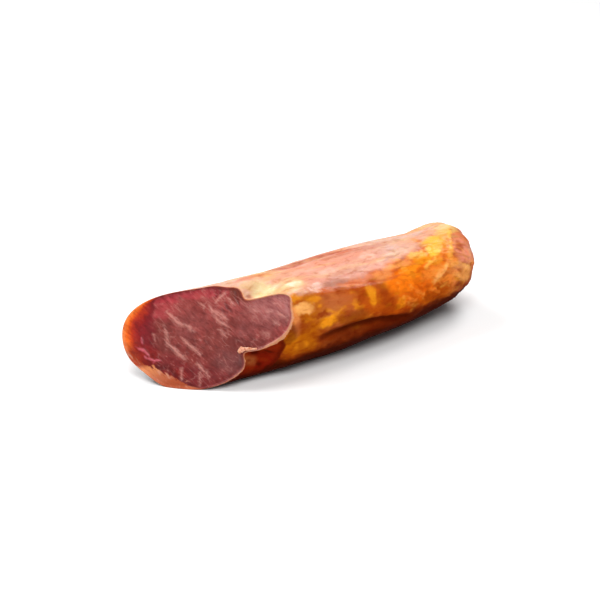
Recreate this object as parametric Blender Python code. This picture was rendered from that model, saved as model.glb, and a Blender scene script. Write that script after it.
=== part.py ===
"""Cured pork loin: one piece in its own casing, cut on the bias at one end and gathered shut at the other.

X runs along the loin with the cut end at -X, the front is -Y and +Z is up. Lengths are in metres, turns in degrees.
A place on the casing is given by its distance along the loin and its turn round it: 0 is the front, 90 the top.
"""

from math import pi, radians, sin

import bmesh
import bpy
import numpy as np
from mathutils import Matrix, Vector

MM = 0.001

# Section of the loin, measured from its centre line
HALF_WIDTH = 27.0 * MM
HALF_HEIGHT_UP = 22.3 * MM
HALF_HEIGHT_DOWN = 23.5 * MM
SECTION_POWER = 2.1

# Length, from the middle of the cut face to the tip of the gathered end
TIP_ALONG = 162.5 * MM
STOCK_START = -52.0 * MM
CAP_START = 92.0 * MM
CAP_LENGTH_POWER = 4.4
CAP_WIDTH_POWER = 2.8

# Centre line: it bows a little in plan and lifts towards the gathered end
CENTRE_FRONT = -0.8 * MM
CENTRE_HEIGHT = 0.5 * MM
DRIFT_PER_METRE = 18.0 * MM
BOW = 2.1 * MM
BOW_MIDDLE = 50.0 * MM
BOW_REACH = 100.0 * MM
TIP_RISE = 3.5 * MM
TIP_RISE_POWER = 1.7

# The bias cut: its plane leans back and turns towards the front
CUT_LEAN = 0.92
CUT_TURN = 1.0

# The flat where the loin has settled, below the centre line
REST_DEPTH = 22.4 * MM

# Mesh density: faces round the loin, rings along it, and the share of rings before the rounded end
SEGMENTS = 100
RINGS = 68
STRAIGHT_SHARE = 0.74
STRAIGHT_END = 120.0 * MM
WELD = 0.00002
SHARP_TURN = 35.0

# Swells and hollows: turn, reach round it, height in mm, place along in mm, reach along in mm
SWELLS = {
    "back shoulder": (165, 17, 6.2, -20, 30),
    "front corner of the cut": (43, 11, 1.9, 35, 14),
    "heel of the cut": (-60, 12, 0.8, 5, 16),
    "flattened back foot": (-129, 22, -2.0, -25, 30),
    "crown of the cut": (103, 10, 1.1, 5, 14),
    "dent in the crown": (79, 12, -6.5, 15, 12),
    "mouth of the notch": (-22, 5, -4.1, 8, 10),
    "hollow below the notch": (-15, 17, -6.9, 12, 12),
    "hem of the hollow": (-24, 15, 0.8, 31, 4),
    "belly": (-60, 40, 1.6, 60, 25),
    "brow over the front fold": (8, 8, 0.7, 70, 18),
    "lobe under the front fold": (-21, 8, 1.3, 72, 18),
    "waist": (110, 50, -2.7, 135, 16),
    "crown of the gathered end": (107, 50, 3.9, 165, 14),
    "cheek of the gathered end": (75, 28, 2.1, 153, 12),
    "hollow under the waist": (-57, 26, -1.5, 122, 14),
    "back hollow": (-158, 16, -1.2, 70, 26),
    "back swell": (178, 20, 0.9, 112, 18),
}

# Creases of the casing: first and last place along in mm, turn at each, sag between, depth and width in mm
CREASES = {
    "crease by the top": (42, 106, 112, 106, 1, 0.9, 1.4),
    "crease over the side": (44, 99, 47, 29, 3, 0.8, 1.6),
    "front fold": (42, 99, -9, -13, 10, 2.4, 2.0),
    "back fold": (18, 118, -172, -150, -5, 1.2, 1.8),
    "back crease": (52, 132, 142, 150, 4, 0.8, 1.5),
}
CREASE_FADES = 5.0

# Pleats of the gathered end, which tighten and twist towards the tip
PLEATS = 11
PLEAT_START = 126.0 * MM
PLEAT_DEPTH = 1.5 * MM
PLEAT_TWIST_PER_MM = 1.1
PLEAT_DRIFTS = ((2, 0.16, 0.6), (3, 0.09, 2.0))
PLEAT_UNEVENNESS = 0.25
PUCKER_DEPTH = 2.2 * MM
PUCKER_RADIUS = 6.0 * MM

# Slow unevenness of the hand-filled casing: height, length of a wave along, waves round, phase of each
LUMPS = (
    (0.35 * MM, 13.0 * MM, 3, 1.3),
    (0.21 * MM, 7.3 * MM, 2, 0.4),
    (0.18 * MM, 9.1 * MM, -5, 2.2),
)

CASING_COLOUR = (0.46, 0.15, 0.035, 1.0)
CASING_ROUGHNESS = 0.42


def bell(distance, width):
    return np.exp(-0.5 * (distance / width) ** 2)


def ease(value):
    held = np.clip(value, 0.0, 1.0)
    return held * held * (3.0 - 2.0 * held)


def turn_from(centre, angle):
    """Signed turn from centre to angle, the short way round."""
    return (angle - centre + pi) % (2 * pi) - pi


def cap_progress(along):
    return np.clip((along - CAP_START) / (TIP_ALONG - CAP_START), 0.0, 1.0)


def cap_share(along):
    """1 along the body, falling to 0 at the tip of the gathered end."""
    return (1.0 - cap_progress(along) ** CAP_LENGTH_POWER) ** (1.0 / CAP_WIDTH_POWER)


def section_radius(angle):
    """A full, slightly boxy oval, deeper below the centre line than above it."""
    height = np.where(np.sin(angle) > 0, HALF_HEIGHT_UP, HALF_HEIGHT_DOWN)
    across = np.abs(np.cos(angle) / HALF_WIDTH) ** SECTION_POWER
    upright = np.abs(np.sin(angle) / height) ** SECTION_POWER
    return (across + upright) ** (-1.0 / SECTION_POWER)


def swell_height(along, angle):
    total = np.zeros_like(along)
    for turn, turn_reach, height, place, reach in SWELLS.values():
        round_it = bell(turn_from(radians(turn), angle), radians(turn_reach))
        total += height * MM * round_it * bell(along - place * MM, reach * MM)
    return total


def crease_depth(along, angle, radius):
    total = np.zeros_like(along)
    for first, last, first_turn, last_turn, sag, depth, width in CREASES.values():
        share = (along - first * MM) / ((last - first) * MM)
        inside = ease(share * CREASE_FADES) * ease((1.0 - share) * CREASE_FADES)
        held = np.clip(share, 0.0, 1.0)
        path = first_turn + (last_turn - first_turn) * held + sag * np.sin(pi * held)
        off_path = turn_from(np.radians(path), angle) * radius
        total += depth * MM * inside * bell(off_path, width * MM)
    return total


def pleat_depth(along, angle):
    onset = ease((along - PLEAT_START) / (TIP_ALONG - PLEAT_START))
    turned = angle + np.radians(PLEAT_TWIST_PER_MM) * (along - PLEAT_START) / MM
    spaced = turned + sum(size * np.sin(waves * turned + phase) for waves, size, phase in PLEAT_DRIFTS)
    valley = (0.5 + 0.5 * np.cos(PLEATS * spaced)) ** 2
    strength = 1.0 - PLEAT_UNEVENNESS + PLEAT_UNEVENNESS * np.sin(2.0 * turned)
    return PLEAT_DEPTH * onset * strength * valley


def lump_height(along, angle):
    total = np.zeros_like(along)
    for height, length, waves, phase in LUMPS:
        total += height * np.sin(along / length + waves * angle + phase)
    return total


def centre_line(along):
    """How far the section's centre lies to the front, and how high."""
    bow = BOW * ((along - BOW_MIDDLE) / BOW_REACH) ** 2
    towards_front = CENTRE_FRONT - DRIFT_PER_METRE * along - bow
    return towards_front, CENTRE_HEIGHT + TIP_RISE * cap_progress(along) ** TIP_RISE_POWER


def casing_points(along, angle):
    """Points of the casing for arrays of place along the loin and turn round it."""
    radius = section_radius(angle) + swell_height(along, angle) + lump_height(along, angle)
    radius = radius - crease_depth(along, angle, radius) - pleat_depth(along, angle)
    radius = radius * cap_share(along)
    towards_front, height = centre_line(along)
    drawn_in = PUCKER_DEPTH * bell(radius, PUCKER_RADIUS) * (along > CAP_START)
    return np.stack(
        [
            along - drawn_in,
            -towards_front - radius * np.cos(angle),
            height + radius * np.sin(angle),
        ],
        axis=-1,
    )


def ring_place(share):
    """Rings are even along the body and close up towards the tip."""
    if share < STRAIGHT_SHARE:
        return STOCK_START + (STRAIGHT_END - STOCK_START) * share / STRAIGHT_SHARE
    rest = (share - STRAIGHT_SHARE) / (1.0 - STRAIGHT_SHARE)
    return STRAIGHT_END + (TIP_ALONG - STRAIGHT_END) * sin(rest * pi / 2)


def moulded_stock():
    """A UV sphere with its poles on X, moulded into the whole uncut loin."""
    stock = bmesh.new()
    bmesh.ops.create_uvsphere(stock, u_segments=SEGMENTS, v_segments=RINGS, radius=1.0)
    bmesh.ops.rotate(stock, verts=stock.verts, matrix=Matrix.Rotation(pi / 2, 3, "Y"))
    sphere = np.array([vert.co[:] for vert in stock.verts])
    share = 1.0 - np.arccos(np.clip(sphere[:, 0], -1.0, 1.0)) / pi
    along = np.array([ring_place(value) for value in share])
    angle = np.arctan2(sphere[:, 2], -sphere[:, 1])
    for vert, place in zip(stock.verts, casing_points(along, angle)):
        vert.co = Vector(place)
    return stock


def slice_off(stock, point, outward):
    """Takes off what lies beyond a plane and closes the opening with one flat face."""
    bmesh.ops.bisect_plane(
        stock,
        geom=stock.verts[:] + stock.edges[:] + stock.faces[:],
        plane_co=point,
        plane_no=outward,
        clear_outer=True,
    )
    rim = [edge for edge in stock.edges if edge.is_boundary]
    bmesh.ops.holes_fill(stock, edges=rim, sides=0)


def weld_and_level(stock, planes):
    """Merges the slivers that a slice leaves along its rim, then lays the rim back in its plane."""
    bmesh.ops.remove_doubles(stock, verts=stock.verts, dist=WELD)
    for point, outward in planes:
        for vert in stock.verts:
            beyond = (vert.co - point).dot(outward)
            if abs(beyond) < WELD:
                vert.co -= outward * beyond


def settle_on_floor(obj):
    """Puts the middle of the finished solid's box over the origin, with its flat at height 0."""
    places = np.array([vert.co[:] for vert in obj.data.vertices])
    low = places.min(axis=0)
    high = places.max(axis=0)
    shift = Vector((-(low[0] + high[0]) / 2, -(low[1] + high[1]) / 2, REST_DEPTH))
    obj.data.transform(Matrix.Translation(shift))


def casing_material():
    material = bpy.data.materials.new("cured_casing")
    material.use_nodes = True
    shader = material.node_tree.nodes["Principled BSDF"]
    shader.inputs["Base Color"].default_value = CASING_COLOUR
    shader.inputs["Roughness"].default_value = CASING_ROUGHNESS
    shader.inputs["Metallic"].default_value = 0.0
    return material


def cured_loin(collection):
    stock = moulded_stock()
    bias_cut = (Vector((0.0, 0.0, 0.0)), Vector((-1.0, -CUT_TURN, CUT_LEAN)).normalized())
    rest_flat = (Vector((0.0, 0.0, -REST_DEPTH)), Vector((0.0, 0.0, -1.0)))
    slice_off(stock, *bias_cut)
    slice_off(stock, *rest_flat)
    weld_and_level(stock, (bias_cut, rest_flat))
    bmesh.ops.triangulate(stock, faces=stock.faces, quad_method="BEAUTY", ngon_method="BEAUTY")
    bmesh.ops.recalc_face_normals(stock, faces=stock.faces)
    mesh = bpy.data.meshes.new("cured_loin")
    stock.to_mesh(mesh)
    stock.free()
    loin = bpy.data.objects.new("cured_loin", mesh)
    collection.objects.link(loin)
    settle_on_floor(loin)
    loin.data.materials.append(casing_material())
    loin.data.shade_smooth()
    loin.data.set_sharp_from_angle(angle=radians(SHARP_TURN))


def main():
    for old in list(bpy.data.objects):
        bpy.data.objects.remove(old)
    collection = bpy.data.collections.new("iberian_cured_pork_loin")
    bpy.context.scene.collection.children.link(collection)
    cured_loin(collection)


main()
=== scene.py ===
"""Looks of a cured pork loin: an amber casing, a marbled bias-cut face, a plain floor and studio light.

The loin is one closed mesh that stands for the CAD solid and is formed in the same way. X runs along the
loin with the cut end at -X, the front is -Y and +Z is up. A place on the casing is given by its distance
along the loin and its turn round it, where 0 is the front and 90 the top. A place on the cut face is given
in millimetres from its middle: level along the face towards the front, and up its slope.
"""

from math import pi, radians, sin

import bpy
import numpy as np
from mathutils import Matrix, Vector


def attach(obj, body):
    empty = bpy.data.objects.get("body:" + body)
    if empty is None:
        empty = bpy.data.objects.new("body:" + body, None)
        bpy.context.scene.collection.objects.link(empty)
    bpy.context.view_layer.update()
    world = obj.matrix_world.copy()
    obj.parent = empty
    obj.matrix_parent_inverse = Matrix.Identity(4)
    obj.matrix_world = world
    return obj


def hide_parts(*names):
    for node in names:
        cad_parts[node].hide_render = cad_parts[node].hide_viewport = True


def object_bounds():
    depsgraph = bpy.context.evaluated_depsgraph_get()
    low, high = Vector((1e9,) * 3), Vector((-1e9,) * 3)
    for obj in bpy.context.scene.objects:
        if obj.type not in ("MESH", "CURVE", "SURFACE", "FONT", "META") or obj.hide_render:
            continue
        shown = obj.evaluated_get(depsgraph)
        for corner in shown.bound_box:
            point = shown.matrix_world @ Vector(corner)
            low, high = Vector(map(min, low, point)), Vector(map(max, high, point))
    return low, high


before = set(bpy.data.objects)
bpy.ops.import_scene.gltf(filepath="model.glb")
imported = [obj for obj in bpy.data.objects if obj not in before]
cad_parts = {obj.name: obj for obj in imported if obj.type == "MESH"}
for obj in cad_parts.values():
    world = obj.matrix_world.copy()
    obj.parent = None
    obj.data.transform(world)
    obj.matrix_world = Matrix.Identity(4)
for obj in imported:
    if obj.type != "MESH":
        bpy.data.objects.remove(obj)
CAD_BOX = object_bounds()

MM = 0.001

# Camera, at the photograph's viewing angle
CAMERA_AZIMUTH = -34.5
CAMERA_ELEVATION = 25.0
CAMERA_DISTANCE = 0.9
CAMERA_LENS = 108.0
CAMERA_AIM = Vector((-0.01837, -0.0150, 0.0350))

# Form of the loin, with the sizes of the solid
HALF_WIDTH = 27.0 * MM
HALF_HEIGHT_UP = 22.3 * MM
HALF_HEIGHT_DOWN = 23.5 * MM
SECTION_POWER = 2.1
TIP_ALONG = 162.5 * MM
CAP_START = 92.0 * MM
CAP_LENGTH_POWER = 4.4
CAP_WIDTH_POWER = 2.8
CENTRE_FRONT = -0.8 * MM
CENTRE_HEIGHT = 0.5 * MM
DRIFT_PER_METRE = 18.0 * MM
BOW = 2.1 * MM
BOW_MIDDLE = 50.0 * MM
BOW_REACH = 100.0 * MM
TIP_RISE = 3.5 * MM
TIP_RISE_POWER = 1.7
CUT_LEAN = 0.92
CUT_TURN = 1.0
CUT_SEARCH = 80.0 * MM
CUT_HALVINGS = 44
REST_DEPTH = 22.4 * MM

# The middle of the cut, which is the loin's own origin, in the frame
LOIN_ORIGIN = Vector((-0.06308, -0.00407, REST_DEPTH))

# Swells and hollows: turn, reach round it, height in mm, place along in mm, reach along in mm
SWELLS = {
    "back shoulder": (165, 17, 6.2, -20, 30),
    "front corner of the cut": (43, 11, 1.9, 35, 14),
    "heel of the cut": (-60, 12, 0.8, 5, 16),
    "flattened back foot": (-129, 22, -2.0, -25, 30),
    "crown of the cut": (103, 10, 1.1, 5, 14),
    "dent in the crown": (77, 10.5, -5.5, 16, 12),
    # These three make the edge of the cut a little lower than in the solid
    "low rim of the crown": (101, 9, -2.5, 11, 5),
    "low rim of the lobe": (66, 8.5, -1.7, 27, 5),
    "slope of the front corner": (35.5, 6.5, -1.3, 36, 6),
    "mouth of the notch": (-22, 5, -4.1, 8, 10),
    "hollow below the notch": (-15, 17, -6.9, 12, 12),
    "hem of the hollow": (-24, 15, 0.8, 31, 4),
    "belly": (-60, 40, 1.6, 60, 25),
    "brow over the front fold": (8, 8, 0.7, 70, 18),
    "lobe under the front fold": (-21, 8, 1.3, 72, 18),
    "waist": (110, 50, -2.7, 135, 16),
    "crown of the gathered end": (107, 50, 3.9, 165, 14),
    "cheek of the gathered end": (75, 28, 2.1, 153, 12),
    "hollow under the waist": (-57, 26, -1.5, 122, 14),
    "back hollow": (-158, 16, -1.2, 70, 26),
    "back swell": (178, 20, 0.9, 112, 18),
}

# Creases of the casing: first and last place along in mm, turn at each, sag between, depth and width in mm
CREASES = {
    "crease by the top": (42, 106, 112, 106, 1, 0.9, 1.4),
    "crease over the side": (44, 99, 47, 29, 3, 0.8, 1.6),
    # This one is narrower than in the solid
    "front fold": (44, 112, -9.5, -23, 9, 2.2, 1.3),
    "back fold": (18, 118, -172, -150, -5, 1.2, 1.8),
    "back crease": (52, 132, 142, 150, 4, 0.8, 1.5),
}
CREASE_FADES = 5.0

# Pleats of the gathered end, which tighten and twist towards the tip
PLEATS = 11
PLEAT_START = 126.0 * MM
PLEAT_DEPTH = 1.5 * MM
PLEAT_TWIST_PER_MM = 1.1
PLEAT_DRIFTS = ((2, 0.16, 0.6), (3, 0.09, 2.0))
PLEAT_UNEVENNESS = 0.25
PUCKER_DEPTH = 2.2 * MM
PUCKER_RADIUS = 6.0 * MM

# Slow unevenness of the hand-filled casing: height, length of a wave along, waves round, phase of each
LUMPS = (
    (0.35 * MM, 13.0 * MM, 3, 1.3),
    (0.21 * MM, 7.3 * MM, 2, 0.4),
    (0.18 * MM, 9.1 * MM, -5, 2.2),
)

# Mesh density of the visual loin
AROUND = 300
CASING_RINGS = 216
FACE_RINGS = 92
CLOSE_RINGS_SHARE = 0.82
CLOSE_RINGS_END = 134.0 * MM
RIM_RING_SHARE = 0.30
SINK = 0.10 * MM
SETTLE_SOFTNESS = 0.15 * MM
WRINKLE_RADIUS = 21.0 * MM

# The cut face: outward normal, level direction towards the front, and up its slope
CUT_OUTWARD = Vector((-1.0, -CUT_TURN, CUT_LEAN)).normalized()
CUT_LEVEL = Vector((1.0, -1.0, 0.0)).normalized()
CUT_UPHILL = CUT_OUTWARD.cross(CUT_LEVEL)
GRAIN_TURN = -35.0
OUTWARD, LEVEL, UPHILL = (np.array(axis) for axis in (CUT_OUTWARD, CUT_LEVEL, CUT_UPHILL))


def bell(distance, width):
    return np.exp(-0.5 * (distance / width) ** 2)


def ease(value):
    held = np.clip(value, 0.0, 1.0)
    return held * held * (3.0 - 2.0 * held)


def window(value, start, rise, end, fall):
    """1 between start and end, easing up over rise and down over fall inside them."""
    return ease((value - start) / rise) * ease((end - value) / fall)


def between(place, stops, column=1, period=None):
    """A height or colour between stops, each of a place and its columns, also round a circle."""
    places = [stop[0] for stop in stops]
    values = np.array([stop[column] for stop in stops], float)
    if values.ndim == 1:
        return np.interp(place, places, values, period=period)
    return np.stack([np.interp(place, places, channel, period=period) for channel in values.T], axis=-1)


def turn_from(centre, angle):
    """Signed turn from centre to angle, the short way round."""
    return (angle - centre + pi) % (2 * pi) - pi


def cap_progress(along):
    return np.clip((along - CAP_START) / (TIP_ALONG - CAP_START), 0.0, 1.0)


def cap_share(along):
    """1 along the body, falling to 0 at the tip of the gathered end."""
    return (1.0 - cap_progress(along) ** CAP_LENGTH_POWER) ** (1.0 / CAP_WIDTH_POWER)


def section_radius(angle):
    """A full, slightly boxy oval, deeper below the centre line than above it."""
    height = np.where(np.sin(angle) > 0, HALF_HEIGHT_UP, HALF_HEIGHT_DOWN)
    across = np.abs(np.cos(angle) / HALF_WIDTH) ** SECTION_POWER
    upright = np.abs(np.sin(angle) / height) ** SECTION_POWER
    return (across + upright) ** (-1.0 / SECTION_POWER)


def swell_height(along, angle):
    total = np.zeros_like(along)
    for turn, turn_reach, height, place, reach in SWELLS.values():
        round_it = bell(turn_from(radians(turn), angle), radians(turn_reach))
        total += height * MM * round_it * bell(along - place * MM, reach * MM)
    return total


def crease_depth(along, angle, radius):
    total = np.zeros_like(along)
    for first, last, first_turn, last_turn, sag, depth, width in CREASES.values():
        share = (along - first * MM) / ((last - first) * MM)
        inside = ease(share * CREASE_FADES) * ease((1.0 - share) * CREASE_FADES)
        held = np.clip(share, 0.0, 1.0)
        path = first_turn + (last_turn - first_turn) * held + sag * np.sin(pi * held)
        off_path = turn_from(np.radians(path), angle) * radius
        total += depth * MM * inside * bell(off_path, width * MM)
    return total


def pleat_depth(along, angle):
    onset = ease((along - PLEAT_START) / (TIP_ALONG - PLEAT_START))
    turned = angle + np.radians(PLEAT_TWIST_PER_MM) * (along - PLEAT_START) / MM
    spaced = turned + sum(size * np.sin(waves * turned + phase) for waves, size, phase in PLEAT_DRIFTS)
    valley = (0.5 + 0.5 * np.cos(PLEATS * spaced)) ** 2
    strength = 1.0 - PLEAT_UNEVENNESS + PLEAT_UNEVENNESS * np.sin(2.0 * turned)
    return PLEAT_DEPTH * onset * strength * valley


def lump_height(along, angle):
    total = np.zeros_like(along)
    for height, length, waves, phase in LUMPS:
        total += height * np.sin(along / length + waves * angle + phase)
    return total


def centre_line(along):
    """How far the section's centre lies to the front, and how high."""
    bow = BOW * ((along - BOW_MIDDLE) / BOW_REACH) ** 2
    towards_front = CENTRE_FRONT - DRIFT_PER_METRE * along - bow
    return towards_front, CENTRE_HEIGHT + TIP_RISE * cap_progress(along) ** TIP_RISE_POWER


def casing_points(along, angle, relief=0.0):
    """Points of the casing at each place along the loin and turn round it, raised by finer relief."""
    radius = section_radius(angle) + swell_height(along, angle) + lump_height(along, angle)
    radius = radius - crease_depth(along, angle, radius) - pleat_depth(along, angle)
    radius = (radius + relief) * cap_share(along)
    towards_front, height = centre_line(along)
    drawn_in = PUCKER_DEPTH * bell(radius, PUCKER_RADIUS) * (along > CAP_START)
    across = -towards_front - radius * np.cos(angle)
    return np.stack([along - drawn_in, across, height + radius * np.sin(angle)], axis=-1)


def cut_along(angle):
    """Where along the loin the cut plane meets the casing at each turn, by halving."""
    low = np.full_like(angle, -CUT_SEARCH)
    high = np.full_like(angle, CUT_SEARCH)
    for _ in range(CUT_HALVINGS):
        middle = (low + high) / 2
        outside = casing_points(middle, angle) @ OUTWARD > 0.0
        low = np.where(outside, middle, low)
        high = np.where(outside, high, middle)
    return (low + high) / 2


# Cells of the seeded noise, on a lattice that repeats
LATTICE_CELLS = 32

# A distance past any other, and the depth in mm of what is far outside a streak or rim
FAR_OFF = 1e9
OUTSIDE = -9.0


def lattice_noise(points, size, seed):
    """Smooth noise from -1 to 1 at points in metres, with cells of that size in mm, or a size per axis."""
    lattice = np.random.default_rng(seed).uniform(-1.0, 1.0, (LATTICE_CELLS,) * 3)
    cells = points / (np.asarray(size, float) * MM)
    base = np.floor(cells).astype(int)
    part = ease(cells - base)
    total = np.zeros(points.shape[:-1])
    for corner in np.ndindex(2, 2, 2):
        index = (base + corner) % LATTICE_CELLS
        weight = np.prod(np.where(corner, part, 1.0 - part), axis=-1)
        total += lattice[index[..., 0], index[..., 1], index[..., 2]] * weight
    return total


def layered_noise(points, size, seed, layers=3):
    """Noise from about -1 to 1 whose layers halve in size and in strength."""
    total = np.zeros(points.shape[:-1])
    for layer in range(layers):
        total += lattice_noise(points, np.asarray(size, float) / 2.0**layer, seed + layer) / 2.0**layer
    return total / (2.0 - 2.0 ** (1 - layers)) * 1.5


def paint(red, green, blue):
    """A display colour from 0 to 255 as linear light."""
    value = np.array([red, green, blue], float) / 255.0
    return np.where(value <= 0.04045, value / 12.92, ((value + 0.055) / 1.055) ** 2.4)


def mix_in(colours, colour, amount):
    return colours + (colour - colours) * np.clip(amount, 0.0, 1.0)[..., None]


def mottled(tint, points, kinds, share=1.0):
    """Mixes in kinds of mottle: colour, strength, contrast, offset, and size in mm and seed of noise."""
    for colour, strength, contrast, offset, size, seed in kinds:
        noise = layered_noise(points, size, seed)
        tint = mix_in(tint, colour, strength * share * ease(contrast * noise + offset))
    return tint


def wavered(values, points, waves):
    """Values pushed about by noise: height, size in mm and seed of each wave."""
    for height, size, seed in waves:
        values = values + height * layered_noise(points, size, seed)
    return values


# Colours of the casing
SALMON = paint(204, 137, 114)
ROSE = paint(208, 156, 136)
GREY_ROSE = paint(200, 160, 146)
PEACH_YELLOW = paint(208, 162, 112)
CREAM = paint(212, 186, 140)
CREAM_ROSE = paint(212, 148, 108)
WHITE_ROSE = paint(226, 178, 160)
# A whitish cream for a painted highlight
HIGHLIGHT_CREAM = paint(232, 208, 178)
PEACH_ORANGE = paint(234, 146, 82)
GOLD_CREAM = paint(238, 172, 72)
TAN = paint(206, 148, 104)
TAN_ROSE = paint(204, 148, 120)
BRIGHT_ORANGE = paint(240, 138, 26)
SOFT_ORANGE = paint(236, 130, 44)
PALE_YELLOW = paint(206, 168, 98)
YELLOW = paint(230, 176, 58)
GOLD = paint(228, 142, 24)
AMBER = paint(176, 92, 10)
ORANGE = paint(236, 116, 16)
DEEP_ORANGE = paint(216, 96, 12)
SALMON_ORANGE = paint(222, 124, 76)
ORANGE_BROWN = paint(180, 78, 12)
OLIVE_BROWN = paint(132, 60, 6)
MAUVE_BROWN = paint(179, 94, 46)
RED_BROWN = paint(140, 50, 10)
DARK_BROWN = paint(94, 28, 6)
# A near-black brown for painted shade
PAINTED_SHADE_BROWN = paint(60, 14, 4)
CREASE_RED = paint(186, 84, 46)
END_PINK = paint(214, 124, 84)
TIP_PINK = paint(228, 140, 112)
RIDGE_CREAM = paint(248, 176, 98)
EDGE_RED = paint(150, 58, 34)
HOLLOW_RED = paint(116, 22, 8)
# Painted highlight on the crests of the gathered end
CREST_HIGHLIGHT_PEACH = paint(238, 156, 80)
MOTTLE_SHADE = paint(214, 176, 144)
MOTTLE_LIGHT = np.array([1.10, 1.22, 1.30])
TOP_GLOSS = 0.42
GLOSS_START = 2.0
GLOSS_REACH = 30.0
MEAT_GLOSS = 0.10

# Dry spots of the upper side: place along in mm, turn, and reach each way
DRY_SPOTS = ((119, 30, 12, 13), (66, 38, 6, 7))
DRYNESS = 0.7

# Colours along the casing: place in mm and colour, on its upper side and on its flanks; the upper side's
# paleness is partly its own colour and partly painted sheen
UPPER_COLOURS = (
    (-20, GREY_ROSE),
    (12, ROSE),
    (35, PEACH_YELLOW),
    (50, SALMON),
    (92, SALMON),
    (108, GREY_ROSE),
    (120, TAN_ROSE),
    (131, TAN_ROSE),
    (139, TAN),
    (147, PALE_YELLOW),
    (152, PALE_YELLOW),
    (160, END_PINK),
)
FLANK_COLOURS = (
    (-20, MAUVE_BROWN),
    (28, AMBER),
    (44, AMBER),
    (54, MAUVE_BROWN),
    (74, ORANGE_BROWN),
    (90, ORANGE_BROWN),
    (99, DEEP_ORANGE),
    (122, DEEP_ORANGE),
    (132, SOFT_ORANGE),
    (143, END_PINK),
    (160, CREASE_RED),
)

# Turns at which the upper side begins, and below which painted shade darkens the flank, by place along in mm
UPPER_EDGE = (
    (-40, 60), (36, 47), (56, 44), (70, 40), (82, 38),
    (90, 43), (98, 50), (110, 53), (122, 62), (140, 74),
)
UPPER_SOFTNESS = ((-20, 9), (60, 9), (80, 9), (92, 13), (120, 18), (150, 26))
PAINTED_SHADE_EDGE = (
    (-40, -10), (30, -28), (46, -22), (60, -18.5), (72, -15.5),
    (95, -12), (112, -14), (124, -14), (134, -16), (150, -19),
)
TOP_TURN = 104.0
UNDER_TURN = -100.0
BACK_SHIFT = 190.0

# Painted shade below the flank: colour, strength, where each begins over the painted shade edge, and its
# softness in degrees
PAINTED_UNDERSIDE_SHADES = (
    (RED_BROWN, 0.65, 15.0, 16.0),
    (DARK_BROWN, 0.90, 7.0, 11.0),
    (PAINTED_SHADE_BROWN, 0.90, 1.0, 12.0),
)

# Mottle: colour, strength, contrast, offset, and size in mm and seed of its noise
FLANK_MOTTLE = (
    (MAUVE_BROWN, 0.40, 1.6, -0.2, (12, 7, 7), 31),
    (GOLD, 0.60, 1.8, -0.3, (7, 4, 4), 35),
    (RED_BROWN, 0.55, -1.6, 0.1, (9, 5, 5), 51),
    (AMBER, 0.70, 1.8, -0.2, (6, 3, 3), 55),
)
UPPER_MOTTLE = (
    (PEACH_YELLOW, 0.50, 1.5, 0.0, (22, 3, 3), 41),
    (ROSE, 0.60, 1.5, 0.1, (12, 7, 7), 31),
    (CREASE_RED, 0.30, 2.0, -0.8, (18, 4, 4), 71),
    (CREAM, 0.45, 2.0, -0.7, (12, 4, 4), 75),
)
SHOULDER_FLECKS = (
    (RED_BROWN, 0.30, -1.8, -0.1, (3.8, 2.3, 2.3), 61),
    (GOLD_CREAM, 0.34, 1.8, -0.3, (3.8, 2.3, 2.3), 61),
)
# The hollow's mottle: its darkest blotches are partly painted shade
HOLLOW_MOTTLE = (
    (RED_BROWN, 0.25, 1.8, -0.1, (5, 3, 3), 381),
    (PAINTED_SHADE_BROWN, 0.65, -1.8, -0.1, (5, 3, 3), 381),
)
HOLLOW_SPOT = ((MAUVE_BROWN * 0.6, 0.85, 1.2, 0.8, (5, 3, 3), 381),)
END_MOTTLE = (
    (TIP_PINK, 1.0, 1.4, 0.6, 5, 91),
    (AMBER, 0.5, 1.6, -0.3, 3, 95),
    (RED_BROWN, 0.5, -1.6, 0.1, 3, 95),
)

# Wavering of what is painted: height in mm or degrees, and size in mm and seed of its noise
PLACE_WAVES = ((1.8, (8, 6, 6), 11), (0.8, 2.2, 15))
TURN_WAVES = ((4.0, (8, 5, 5), 21), (2.0, 2.2, 25))
LINE_PLACE_WAVES = ((0.5, 6, 81),)
LINE_TURN_WAVES = ((1.6, 6, 85),)
LINE_BREAKS = ((0.5, 4, 89),)
CREST_PLACE_WAVES = ((0.9, 5, 171),)
CREST_TURN_WAVES = ((2.4, 5, 175),)

# Where each painted part is: in mm along or degrees round, and as a window of start, rise, end and fall
SHOULDER_ALONG = (94.0, 10.0, 146.0, 8.0)
SHOULDER_TOP = 58.0
SHOULDER_TOP_SOFTNESS = 12.0
HOLLOW_ROUND = (-64.0, 8.0, 5.0, 6.0)
# Painted shade of the hollow: the turn below which it falls and its softness, then its offset and width
# beside the edge
HOLLOW_SHADE_TURN = -33.0
HOLLOW_SHADE_SOFTNESS = 16.0
HOLLOW_EDGE_SHADE = 1.4
HOLLOW_EDGE_SHADE_WIDTH = 1.1
HOLLOW_SPOT_PLACE = 11.0
HOLLOW_SPOT_TURN = -27.0
HOLLOW_SPOT_REACH = 3.2
HOLLOW_SPOT_TURN_REACH = 5.0
# Where painted highlight lies on the crests of the gathered end
LIT_START = 112.0
LIT_TURN = -10.0
LIT_SOFTNESS = 20.0
PATCH_SOFTNESS = 0.42
GATHER_START = 106.0
GATHER_REACH = 34.0
END_START = 152.5
END_REACH = 8.5
# Where painted shade darkens the pucker at the tip
PUCKER_SHADE_START = 160.6
PUCKER_SHADE_REACH = 1.6

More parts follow.
